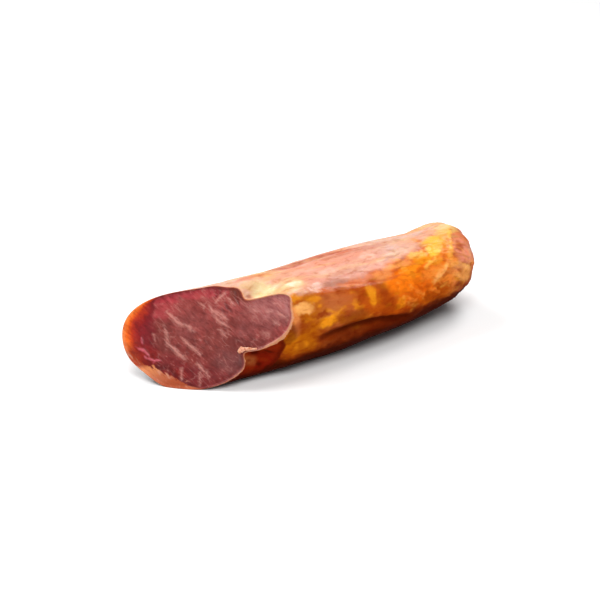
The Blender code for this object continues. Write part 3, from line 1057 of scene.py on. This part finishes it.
def meat_tint(spots, points):
    """Mottled meat with its patches, and dark clefts."""
    level = wavered(spots[..., 0], points, LEVEL_WAVES)
    uphill = wavered(spots[..., 1], points, UPHILL_WAVES)
    tint = mottled(np.broadcast_to(MEAT, points.shape), points, MEAT_MOTTLE)
    for place, height, reach, rise, colour, strength in MEAT_PATCHES.values():
        off = np.hypot((level - place) / reach, (uphill - height) / rise)
        tint = mix_in(tint, colour, strength * fade(off, MEAT_PATCH_SOFTNESS))
    return mix_in(tint, WET_CRIMSON, 0.65 * ease(streak_field(spots, points, DARK_STREAKS) / 1.2 + 0.5))


def rimmed_tint(tint, direction, points, to_rim):
    """A brown outline along the upper right rim, and a crimson band along the upper left one."""
    band = between(direction, RIM_FAT, period=360.0)
    outline = bell(to_rim - band - 0.7, 0.6) * window(direction, *OUTLINE_ROUND)
    tint = mix_in(tint, MEAT_BROWN, 0.6 * outline)
    upper = window(direction, *UPPER_RIM_ROUND)
    wander = wavered(0.0, points, UPPER_RIM_WAVES)
    tint = mix_in(tint, UPPER_CRIMSON, 0.85 * upper * fade((to_rim + wander) / 3.4, 0.5))
    return mix_in(tint, WET_CRIMSON, 0.75 * upper * fade((to_rim + 0.3 * wander) / 0.9, 0.4))


def thin_edge_tint(tint, uphill, direction, points, to_rim):
    """Painted glow of light through the thin left edge, from orange to crimson; it is deep red at its foot.
    """
    share, thin = thin_share(direction, to_rim, points)
    beside = ease((FOOT_DIRECTION - direction) / FOOT_DIRECTION_SOFTNESS)
    foot = beside * ease((FOOT_HEIGHT - uphill) / FOOT_HEIGHT_SOFTNESS)
    glow = mix_in(between(share, THIN_EDGE_GLOW_COLOURS), DEEP_RED, 0.85 * foot * ease((share + 0.05) / 0.2))
    return tint + (glow - tint) * thin[..., None]


def face_tint(spots, points, to_rim):
    """Colour of the cut meat, before its fat."""
    direction = face_direction(spots)
    uphill = wavered(spots[..., 1], points, UPHILL_WAVES)
    tint = rimmed_tint(meat_tint(spots, points), direction, points, to_rim)
    tint = thin_edge_tint(tint, uphill, direction, points, to_rim)
    # Painted wet highlight on the curls of fat
    return mix_in(tint, WET_HIGHLIGHT_PINK, 0.85 * ease(streak_field(spots, points, WET_CURLS) / 0.9 + 0.45))


def face_relief(spots, points, to_rim):
    """Height over the cut plane in metres: a lip of casing, fibres, and streaks that stand proud."""
    lip = sum(height * bell(to_rim - place, width) for height, place, width in RIM_LIPS)
    grain = GRAIN_HEIGHT * layered_noise(points, 1.6, 401)
    waves = WAVE_HEIGHT * layered_noise(points, 9, 411, layers=2)
    streaks = STREAK_HEIGHT * ease(streak_field(spots, points, STREAKS) + 0.5)
    curls = CURL_HEIGHT * ease(streak_field(spots, points, WET_CURLS) / 1.4 + 0.5)
    clefts = CLEFT_DEPTH * ease(streak_field(spots, points, DARK_STREAKS) / 1.2 + 0.5)
    return (lip + ease(to_rim / 0.6) * (grain + waves + streaks + curls - clefts)) * MM


def ring_place(share, start):
    """Rings are close together at the cut, even along the body, and close up again towards the tip."""
    if share < CLOSE_RINGS_SHARE:
        part = share / CLOSE_RINGS_SHARE
        part = RIM_RING_SHARE * part + (1.0 - RIM_RING_SHARE) * part * part * (1.6 - 0.6 * part)
        return start + (CLOSE_RINGS_END - start) * part
    rest = (share - CLOSE_RINGS_SHARE) / (1.0 - CLOSE_RINGS_SHARE)
    place = CLOSE_RINGS_END + (TIP_ALONG - CLOSE_RINGS_END) * sin(rest * pi / 2)
    return np.full_like(start, place)


def settled(points):
    """Lays what would sink below the flat softly onto it, and holds front and top in the solid's box."""
    front = CAD_BOX[0][1] - LOIN_ORIGIN.y
    top = CAD_BOX[1][2] - LOIN_ORIGIN.z
    for axis, limit, inward in ((2, -REST_DEPTH, 1.0), (1, front, 1.0), (2, top, -1.0)):
        within = inward * (points[..., axis] - limit)
        points[..., axis] = limit + inward * 0.5 * (within + np.hypot(within, SETTLE_SOFTNESS))
    return points


def loin_grid():
    """Casing points ring by ring from the cut to the tip."""
    angle = np.linspace(-pi, pi, AROUND, endpoint=False)
    start = cut_along(angle)
    shares = np.linspace(0.0, 1.0, CASING_RINGS + 1)[:-1]
    along = np.array([ring_place(share, start) for share in shares])
    turns = np.broadcast_to(angle, along.shape)
    plain = casing_points(along, turns)
    held = ease((along - start) / (2.0 * MM))
    points = casing_points(along, turns, casing_relief(plain, along, turns) * held - SINK)
    points[0] = casing_points(along[0], turns[0], -SINK)
    points[0] -= (points[0] @ OUTWARD)[:, None] * OUTWARD
    return along, turns, settled(points)


def face_grid(rim):
    """Points of the cut face from just inside the rim to its middle, before relief."""
    middle = rim.mean(axis=0)
    shares = np.linspace(0.0, 1.0, FACE_RINGS + 1)[1:-1]
    shares = 0.50 * shares + 0.50 * shares**2
    return middle + (rim - middle) * (1.0 - shares[:, None, None]), middle


def grid_faces(rows, first, flip, around=AROUND):
    """Quads between rings of points that start at index first."""
    faces = []
    for row in range(rows - 1):
        for step in range(around):
            here = first + row * around + step
            beside = first + row * around + (step + 1) % around
            quad = (here, beside, beside + around, here + around)
            faces.append(quad[::-1] if flip else quad)
    return faces


def fan_faces(first, tip, flip, around=AROUND):
    """Triangles from a ring of points to one point."""
    fan = [(first + step, first + (step + 1) % around, tip) for step in range(around)]
    return [face[::-1] for face in fan] if flip else fan


def loin_faces():
    """Faces of the closed loin, and how many of them are casing."""
    tip = CASING_RINGS * AROUND
    face_start = tip + 1
    face_rings = FACE_RINGS - 1
    middle = face_start + face_rings * AROUND
    casing = grid_faces(CASING_RINGS, 0, True) + fan_faces(tip - AROUND, tip, True)
    rim = []
    for step in range(AROUND):
        beside = (step + 1) % AROUND
        rim.append((step, beside, face_start + beside, face_start + step))
    cut = rim + grid_faces(face_rings, face_start, False) + fan_faces(middle - AROUND, middle, False)
    return casing + cut, len(casing)


def casing_lip(along, angle, points):
    """How many mm inside the cream edge of the casing, beside the cut, each casing point is."""
    width = between(np.degrees(angle), CASING_LIP, period=360.0)
    near = along[:, 0] - along[0, 0] < LIP_REACH
    rows = points[near] / MM
    off = np.minimum.reduce([np.linalg.norm(rows - spot, axis=-1) for spot in points[0] / MM])
    field = np.full(along.shape, OUTSIDE)
    field[near] = width[near] - off + 0.4 * layered_noise(points[near], 2.6, 371)
    return field


def casing_gloss(along, angle):
    """The upper side is oiled, less so in its dry spots; the side that faces the table is dull."""
    degrees = np.degrees(angle)
    height = np.where(np.abs(degrees) > 90.0, np.sign(degrees) * 180.0 - degrees, degrees)
    gloss = TOP_GLOSS * ease((height - GLOSS_START) / GLOSS_REACH)
    for place, turn, reach, turn_reach in DRY_SPOTS:
        gloss *= 1.0 - DRYNESS * bell(along / MM - place, reach) * bell(degrees - turn, turn_reach)
    return gloss


def fatty_rim(flat, direction, to_rim):
    """How many mm inside the fatty rim each face point is, and how ragged the edge of that fat is."""
    width = between(direction, RIM_FAT, period=360.0)
    ragged = ease((width - 1.2) / 2.0)
    return width - to_rim + (0.1 + 0.7 * ragged) * layered_noise(flat, 2.4, 351), ragged


def joined(fields):
    """Each field's parts as one array."""
    return {name: np.concatenate(parts) for name, parts in fields.items()}


def loin_fields():
    """The loin's points, and the colours and the values that its materials read at each."""
    along, turns, casing = loin_grid()
    face, middle = face_grid(casing[0])
    flat = np.concatenate([face.reshape(-1, 3), middle[None]])
    spots = face_spots(flat)
    to_rim = rim_distance(spots, face_spots(casing[0]))
    direction = face_direction(spots)
    raised = flat + OUTWARD * face_relief(spots, flat, to_rim)[:, None]
    tip = casing_points(np.array([TIP_ALONG]), np.array([0.0]), -SINK)
    tint = casing_tint(along, turns, casing)
    band, ragged = fatty_rim(flat, direction, to_rim)
    # Mostly 0 in the painted glow of the thin edge, where the meat's threads and flecks fade out
    outside_glow = 1.0 - 0.85 * thin_share(direction, to_rim, flat)[1]
    count = casing.size // 3 + 1
    colours = {
        "tint": (tint.reshape(-1, 3), tint[-1].mean(axis=0)[None], face_tint(spots, flat, to_rim)),
        "edge_tint": (np.tile(CREAM_ROSE, (count, 1)), between(direction, RIM_FAT, 2, 360.0)),
    }
    values = {
        "fat": (np.full(count, OUTSIDE), streak_field(spots, flat, STREAKS)),
        "edge": (casing_lip(along, turns, casing).ravel(), [OUTSIDE], band),
        "ragged": (np.zeros(count), ragged),
        "gloss": (casing_gloss(along, turns).ravel(), [0.0], np.full(len(flat), MEAT_GLOSS)),
        "outside_glow": (np.ones(count), outside_glow),
    }
    return np.concatenate([casing.reshape(-1, 3), tip, raised]), joined(colours), joined(values)


# Uniform values of each material
CASING_SURFACE = {
    "IOR": 1.12,
    "Specular IOR Level": 0.02,
    "Subsurface Weight": 0.2,
    "Subsurface Radius": (1.0, 0.30, 0.08),
    "Subsurface Scale": 0.003,
    "Coat Roughness": 0.22,
}
MEAT_SURFACE = {
    "Specular IOR Level": 0.15,
    "Subsurface Weight": 0.2,
    "Subsurface Radius": (1.0, 0.25, 0.15),
    "Subsurface Scale": 0.002,
    "Coat Roughness": 0.25,
}
FAT_SURFACE = {
    "Roughness": 0.42,
    "Specular IOR Level": 0.3,
    "Subsurface Weight": 0.3,
    "Subsurface Radius": (1.0, 0.5, 0.3),
    "Subsurface Scale": 0.002,
}
FLOOR_SURFACE = {
    "Base Color": (0.84, 0.84, 0.84, 1.0),
    "Roughness": 0.8,
    "Specular IOR Level": 0.2,
}
CELL_BEND_SIZE = 3.0


class Surface:
    """A material's nodes, added one at a time round its Principled shader."""

    def __init__(self, name):
        self.material = bpy.data.materials.new(name)
        self.material.use_nodes = True
        self.tree = self.material.node_tree
        self.shader = self.tree.nodes["Principled BSDF"]
        self.place = self.tree.nodes.new("ShaderNodeTexCoord").outputs["Object"]

    def feed(self, inputs, values):
        """Links outputs to the inputs of those names, or sets plain values on them."""
        for name, value in values.items():
            if isinstance(value, bpy.types.NodeSocket):
                self.tree.links.new(value, inputs[name])
            else:
                inputs[name].default_value = value

    def node(self, kind, values, **settings):
        """The outputs of a new node with those settings and input values."""
        node = self.tree.nodes.new(kind)
        for name, setting in settings.items():
            setattr(node, name, setting)
        self.feed(node.inputs, values)
        return node.outputs

    def attribute(self, name, output):
        return self.node("ShaderNodeAttribute", {}, attribute_name=name)[output]

    def mapped(self, change):
        """The object's coordinates, or those in the change, stretched or turned by it."""
        values = {"Vector": self.place, **change}
        return self.node("ShaderNodeMapping", values, vector_type="TEXTURE")["Vector"]

    def noise(self, size, stretch=1.0, detail=4.0, roughness=0.55, distortion=0.0, place=None):
        """Noise about 0.5 with features of that size in mm, longer along X by its stretch."""
        values = {
            "Vector": self.mapped({"Vector": place or self.place, "Scale": (stretch, 1.0, 1.0)}),
            "Scale": 1.0 / (size * MM),
            "Detail": detail,
            "Roughness": roughness,
            "Distortion": distortion,
        }
        return self.node("ShaderNodeTexNoise", values)["Fac"]

    def cell_walls(self, size, stretch, place, bend):
        """Distance to the wall between bent cells of that size in mm: 0 on the wall."""
        spot = self.mapped({"Vector": place, "Scale": (stretch, 1.0, 1.0)})
        bends = {"Vector": spot, "Scale": 1.0 / (CELL_BEND_SIZE * MM)}
        bender = self.node("ShaderNodeTexNoise", bends)["Color"]
        moved = {0: bender, 1: (bend * MM,) * 3, 2: spot}
        bent = self.node("ShaderNodeVectorMath", moved, operation="MULTIPLY_ADD")["Vector"]
        cells = {"Vector": bent, "Scale": 1.0 / (size * MM)}
        return self.node("ShaderNodeTexVoronoi", cells, feature="DISTANCE_TO_EDGE")["Distance"]

    def ramp(self, value, low, high, low_to=0.0, high_to=1.0):
        values = {"Value": value, "From Min": low, "From Max": high, "To Min": low_to, "To Max": high_to}
        return self.node("ShaderNodeMapRange", values, interpolation_type="SMOOTHSTEP")["Result"]

    def math(self, kind, first, second):
        return self.node("ShaderNodeMath", {0: first, 1: second}, operation=kind)["Value"]

    def mix(self, factor, first, second, kind="MIX"):
        values = {"Factor": factor, "A": first, "B": second}
        return self.node("ShaderNodeMix", values, data_type="RGBA", blend_type=kind)["Result"]

    def shaded(self, under, value, low, high, strength, colour, kind="MIX"):
        """Mixes a colour over what is under it, more as the value goes from low to high."""
        return self.mix(self.ramp(value, low, high, 0.0, strength), under, opaque(colour), kind)

    def bump(self, height, strength, distance, under=None):
        values = {"Height": height, "Strength": strength, "Distance": distance * MM}
        if under is not None:
            values["Normal"] = under
        return self.node("ShaderNodeBump", values)["Normal"]

    def finished(self, values):
        self.feed(self.shader.inputs, values)
        return self.material


def opaque(colour):
    return (*[float(part) for part in colour], 1.0)


def casing_material():
    """A thin oiled film over meat and fat: softly mottled, faintly fibrous, with an uneven sheen."""
    look = Surface("cured_casing")
    mottle = look.noise(3.6, 1.8, 4.0, 0.55, 0.6)
    grain = look.noise(1.0, 1.5, 3.0)
    threads = look.noise(1.8, 8.0, 3.0, 0.5, 0.8)
    oiled = look.attribute("gloss", "Fac")
    rough = look.ramp(oiled, 0.0, TOP_GLOSS, 1.0, 0.45)
    shade = look.attribute("tint", "Color")
    shade = look.shaded(shade, mottle, 0.50, 0.72, 0.60, MOTTLE_SHADE, "MULTIPLY")
    shade = look.shaded(shade, mottle, 0.48, 0.28, 0.80, MOTTLE_LIGHT, "MULTIPLY")
    shade = look.shaded(shade, threads, 0.48, 0.34, 0.22, MOTTLE_LIGHT, "MULTIPLY")
    grains = look.math("MULTIPLY", look.ramp(grain, 0.50, 0.70, 0.0, 0.30), rough)
    shade = look.mix(grains, shade, opaque(MOTTLE_SHADE), "MULTIPLY")
    edge = look.math("ADD", look.attribute("edge", "Fac"), look.ramp(grain, 0.3, 0.7, -0.25, 0.25))
    shade = look.mix(look.ramp(edge, -0.25, 0.25, 0.0, 0.85), shade, look.attribute("edge_tint", "Color"))
    normal = look.bump(look.math("MULTIPLY", mottle, rough), 0.50, 0.45)
    normal = look.bump(look.math("MULTIPLY", threads, rough), 0.30, 0.16, normal)
    normal = look.bump(look.math("MULTIPLY", grain, rough), 0.35, 0.12, normal)
    values = {
        "Base Color": shade,
        "Roughness": look.ramp(mottle, 0.3, 0.7, 0.32, 0.48),
        "Coat Weight": look.math("MULTIPLY", oiled, look.ramp(mottle, 0.30, 0.66, 1.0, 0.35)),
        "Normal": normal,
    }
    return look.finished({**values, **CASING_SURFACE})


def grain_axes():
    """Columns along the meat's fibres, across them on the face, and out of the face."""
    turn = radians(GRAIN_TURN)
    along = CUT_LEVEL * np.cos(turn) + CUT_UPHILL * np.sin(turn)
    return Matrix((along, CUT_OUTWARD.cross(along), CUT_OUTWARD)).transposed()


def fatty_shade(look, shade, strand, speck):
    """Streaks of fat, with a pink halo and a pale middle."""
    fat = look.math("ADD", look.attribute("fat", "Fac"), look.ramp(strand, 0.25, 0.75, 0.5, -0.5))
    fat = look.math("ADD", fat, look.ramp(speck, 0.3, 0.7, 0.2, -0.2))
    shade = look.shaded(shade, fat, -1.3, 0.1, 0.35, FAT_PINK)
    return look.shaded(shade, fat, -0.35, 0.50, 0.54, FAT_PALE)


def rim_shade(look, shade, strand, bundle, patch):
    """The fatty rim, whose inner edge is ragged where it is broad."""
    ragged = look.math("MULTIPLY", look.attribute("ragged", "Fac"), look.ramp(bundle, 0.3, 0.7, 1.2, -1.2))
    edge = look.math("ADD", look.attribute("edge", "Fac"), ragged)
    tint = look.shaded(look.attribute("edge_tint", "Color"), patch, 0.44, 0.62, 0.35, BURNT_PEACH)
    tint = look.shaded(tint, strand, 0.46, 0.66, 0.35, BURNT_PEACH)
    tint = look.shaded(tint, bundle, 0.48, 0.34, 0.50, CREAM_PEACH)
    return look.mix(look.ramp(edge, -0.35, 0.45, 0.0, 0.92), shade, tint)


def meat_material():
    """Mauve-red meat: bundles of slanting fibres, pale threads between, streaks of fat and a fatty rim."""
    look = Surface("cut_meat")
    fibres = look.mapped({"Rotation": grain_axes().to_euler("XYZ")})
    strand = look.noise(0.9, 3.6, 4.0, 0.62, 0.3, fibres)
    bundle = look.noise(2.6, 2.2, 4.0, 0.6, 0.5, fibres)
    patch = look.noise(5.5, 1.5, 3.0, 0.55, 0.3, fibres)
    speck = look.noise(0.5, 2.0, 3.0, 0.6, 0.0, fibres)
    wall = look.cell_walls(2.4, 3.6, fibres, 2.5)
    # 1 outside the painted glow of the thin edge, which is kept clear of rose, threads and flecks
    outside_glow = look.attribute("outside_glow", "Fac")
    shade = look.attribute("tint", "Color")
    shade = look.shaded(shade, patch, 0.42, 0.64, 0.50, MEAT_SHADE, "MULTIPLY")
    shade = look.shaded(shade, bundle, 0.48, 0.68, 0.70, MEAT_SHADE, "MULTIPLY")
    shade = look.shaded(shade, strand, 0.48, 0.72, 0.80, MEAT_SHADE, "MULTIPLY")
    rosy = look.math("MULTIPLY", look.ramp(bundle, 0.46, 0.30, 0.0, 0.40), outside_glow)
    shade = look.mix(rosy, shade, opaque(MEAT_ROSE))
    threads = look.math("MULTIPLY", look.ramp(wall, 0.08, 0.0), look.ramp(patch, 0.55, 0.38, 0.0, 0.30))
    shade = look.mix(look.math("MULTIPLY", threads, outside_glow), shade, opaque(FAT_PINK))
    flecks = look.math("MULTIPLY", look.ramp(strand, 0.45, 0.33), look.ramp(bundle, 0.52, 0.36, 0.0, 0.5))
    shade = look.mix(look.math("MULTIPLY", flecks, outside_glow), shade, opaque(FAT_PINK))
    shade = fatty_shade(look, shade, strand, speck)
    shade = rim_shade(look, shade, strand, bundle, patch)
    normal = look.bump(bundle, 0.45, 0.40)
    normal = look.bump(strand, 0.50, 0.20, normal)
    normal = look.bump(speck, 0.35, 0.07, normal)
    values = {
        "Base Color": shade,
        "Roughness": look.ramp(speck, 0.3, 0.7, 0.36, 0.52),
        "Coat Weight": look.attribute("gloss", "Fac"),
        "Normal": normal,
    }
    return look.finished({**values, **MEAT_SURFACE})


def fat_material():
    """Firm creamy fat with a pink cast."""
    look = Surface("fat")
    cloud = look.noise(1.2, 1.0, 4.0, 0.6)
    shade = look.shaded(opaque(FAT_CREAM), cloud, 0.42, 0.64, 1.0, PEACH)
    return look.finished({"Base Color": shade, "Normal": look.bump(cloud, 0.5, 0.25), **FAT_SURFACE})


def set_colours(mesh, name, colours):
    attribute = mesh.color_attributes.new(name, "FLOAT_COLOR", "POINT")
    full = np.concatenate([np.clip(colours, 0.0, 1.0), np.ones((len(colours), 1))], axis=1)
    attribute.data.foreach_set("color", full.astype(np.float32).ravel())


def set_values(mesh, name, values):
    attribute = mesh.attributes.new(name, "FLOAT", "POINT")
    attribute.data.foreach_set("value", np.asarray(values, np.float32))


def make_piece(name, places, faces, materials):
    """A smooth mesh of points given from the loin's own origin."""
    mesh = bpy.data.meshes.new(name)
    mesh.from_pydata((places + np.array(LOIN_ORIGIN)).tolist(), [], faces)
    for material in materials:
        mesh.materials.append(material)
    mesh.shade_smooth()
    piece = bpy.data.objects.new(name, mesh)
    bpy.context.scene.collection.objects.link(piece)
    return piece


def make_loin():
    places, colours, values = loin_fields()
    faces, casing_faces = loin_faces()
    loin = make_piece("loin_in_casing", places, faces, (casing_material(), meat_material()))
    for name, colour in colours.items():
        set_colours(loin.data, name, colour)
    for name, value in values.items():
        set_values(loin.data, name, value)
    slots = np.zeros(len(faces), np.int32)
    slots[casing_faces:] = 1
    loin.data.polygons.foreach_set("material_index", slots)
    loin.data.update()
    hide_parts("cured_loin")
    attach(loin, "root")


def fat_curl_points():
    """Rings of points round the smoothed path of the curl, and its two ends."""
    steps = np.linspace(0.0, len(FAT_CURL) - 1.0, FAT_CURL_STEPS)
    knots = np.arange(len(FAT_CURL))
    radius, level, uphill, height = [np.interp(steps, knots, column) for column in np.transpose(FAT_CURL)]
    smooth = np.ones(FAT_CURL_SMOOTHING) / FAT_CURL_SMOOTHING
    tracks = [np.pad(track, FAT_CURL_SMOOTHING // 2, mode="edge") for track in (level, uphill, height)]
    path = np.stack([np.convolve(track, smooth, "valid") for track in tracks], axis=-1)
    ahead = np.gradient(path, axis=0)
    ahead /= np.linalg.norm(ahead, axis=-1, keepdims=True)
    aside = np.cross(ahead, [0.0, 0.0, 1.0])
    aside /= np.linalg.norm(aside, axis=-1, keepdims=True)
    above = np.cross(aside, ahead)
    angle = np.linspace(0.0, 2.0 * pi, FAT_CURL_SIDES, endpoint=False)[None, :, None]
    ring = aside[:, None] * np.cos(angle) + FAT_CURL_FLATNESS * above[:, None] * np.sin(angle)
    points = path[:, None] + radius[:, None, None] * ring
    lumps = wavered(0.0, points * MM, FAT_CURL_LUMPS)
    points = path[:, None] + (radius[:, None, None] + lumps[..., None]) * ring
    return points, path[0] - FAT_CURL_END * ahead[0], path[-1] + FAT_CURL_END * ahead[-1]


def make_fat_curl():
    rings, first_end, last_end = fat_curl_points()
    flat = np.concatenate([rings.reshape(-1, 3), first_end[None], last_end[None]]) * MM
    last_ring = (FAT_CURL_STEPS - 1) * FAT_CURL_SIDES
    quads = grid_faces(FAT_CURL_STEPS, 0, False, FAT_CURL_SIDES)
    faces = [(here, onward, across, beside) for here, beside, across, onward in quads]
    faces += fan_faces(0, len(flat) - 2, False, FAT_CURL_SIDES)
    faces += fan_faces(last_ring, len(flat) - 1, True, FAT_CURL_SIDES)
    curl = make_piece("fat_curl", flat @ np.array([LEVEL, UPHILL, OUTWARD]), faces, (fat_material(),))
    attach(curl, "root")


# Floor and studio light: place, aim, size and power of each light
FLOOR_SIZE = 6.0
FLOOR_GAP = 0.05 * MM
WORLD_LIGHT = 0.20
LIGHTS = {
    "back_softbox": ((-0.35, 0.72, 0.80), (0.0, 0.0, 0.02), (0.9, 0.6), 10.5),
    "sheen_softbox": ((0.54, 0.14, 0.93), (0.0, 0.0, 0.03), (0.40, 0.55), 5.5),
    "front_softbox": ((-0.30, -0.55, 0.95), (0.0, 0.0, 0.0), (0.7, 0.7), 9.5),
    "side_fill": ((-1.0, -0.30, 0.35), (0.0, 0.0, 0.02), (0.6, 0.6), 1.0),
}


def make_floor():
    bpy.ops.mesh.primitive_plane_add(size=FLOOR_SIZE, location=(0.0, 0.0, -FLOOR_GAP))
    floor = bpy.context.object
    floor.name = "floor"
    floor.data.materials.append(Surface("pale_floor").finished(FLOOR_SURFACE))


def area_light(name, place, aim, size, power):
    light = bpy.data.lights.new(name, "AREA")
    light.shape = "RECTANGLE"
    light.size, light.size_y = size
    light.energy = power
    lamp = bpy.data.objects.new(name, light)
    lamp.location = place
    lamp.rotation_euler = (Vector(aim) - Vector(place)).to_track_quat("-Z", "Y").to_euler()
    bpy.context.scene.collection.objects.link(lamp)


def make_lights():
    world = bpy.data.worlds.new("studio")
    bpy.context.scene.world = world
    world.use_nodes = True
    background = world.node_tree.nodes["Background"]
    background.inputs["Color"].default_value = (1.0, 1.0, 1.0, 1.0)
    background.inputs["Strength"].default_value = WORLD_LIGHT
    for name, (place, aim, size, power) in LIGHTS.items():
        area_light(name, place, aim, size, power)


def make_camera():
    data = bpy.data.cameras.new("camera")
    data.lens = CAMERA_LENS
    camera = bpy.data.objects.new("camera", data)
    turn, lift = radians(CAMERA_AZIMUTH), radians(CAMERA_ELEVATION)
    back = Vector((np.sin(turn) * np.cos(lift), -np.cos(turn) * np.cos(lift), np.sin(lift)))
    camera.location = CAMERA_AIM + back * CAMERA_DISTANCE
    camera.rotation_euler = (-back).to_track_quat("-Z", "Y").to_euler()
    bpy.context.scene.collection.objects.link(camera)
    bpy.context.scene.camera = camera


def main():
    bpy.context.scene.view_settings.view_transform = "Standard"
    make_camera()
    make_lights()
    make_floor()
    make_loin()
    make_fat_curl()


main()
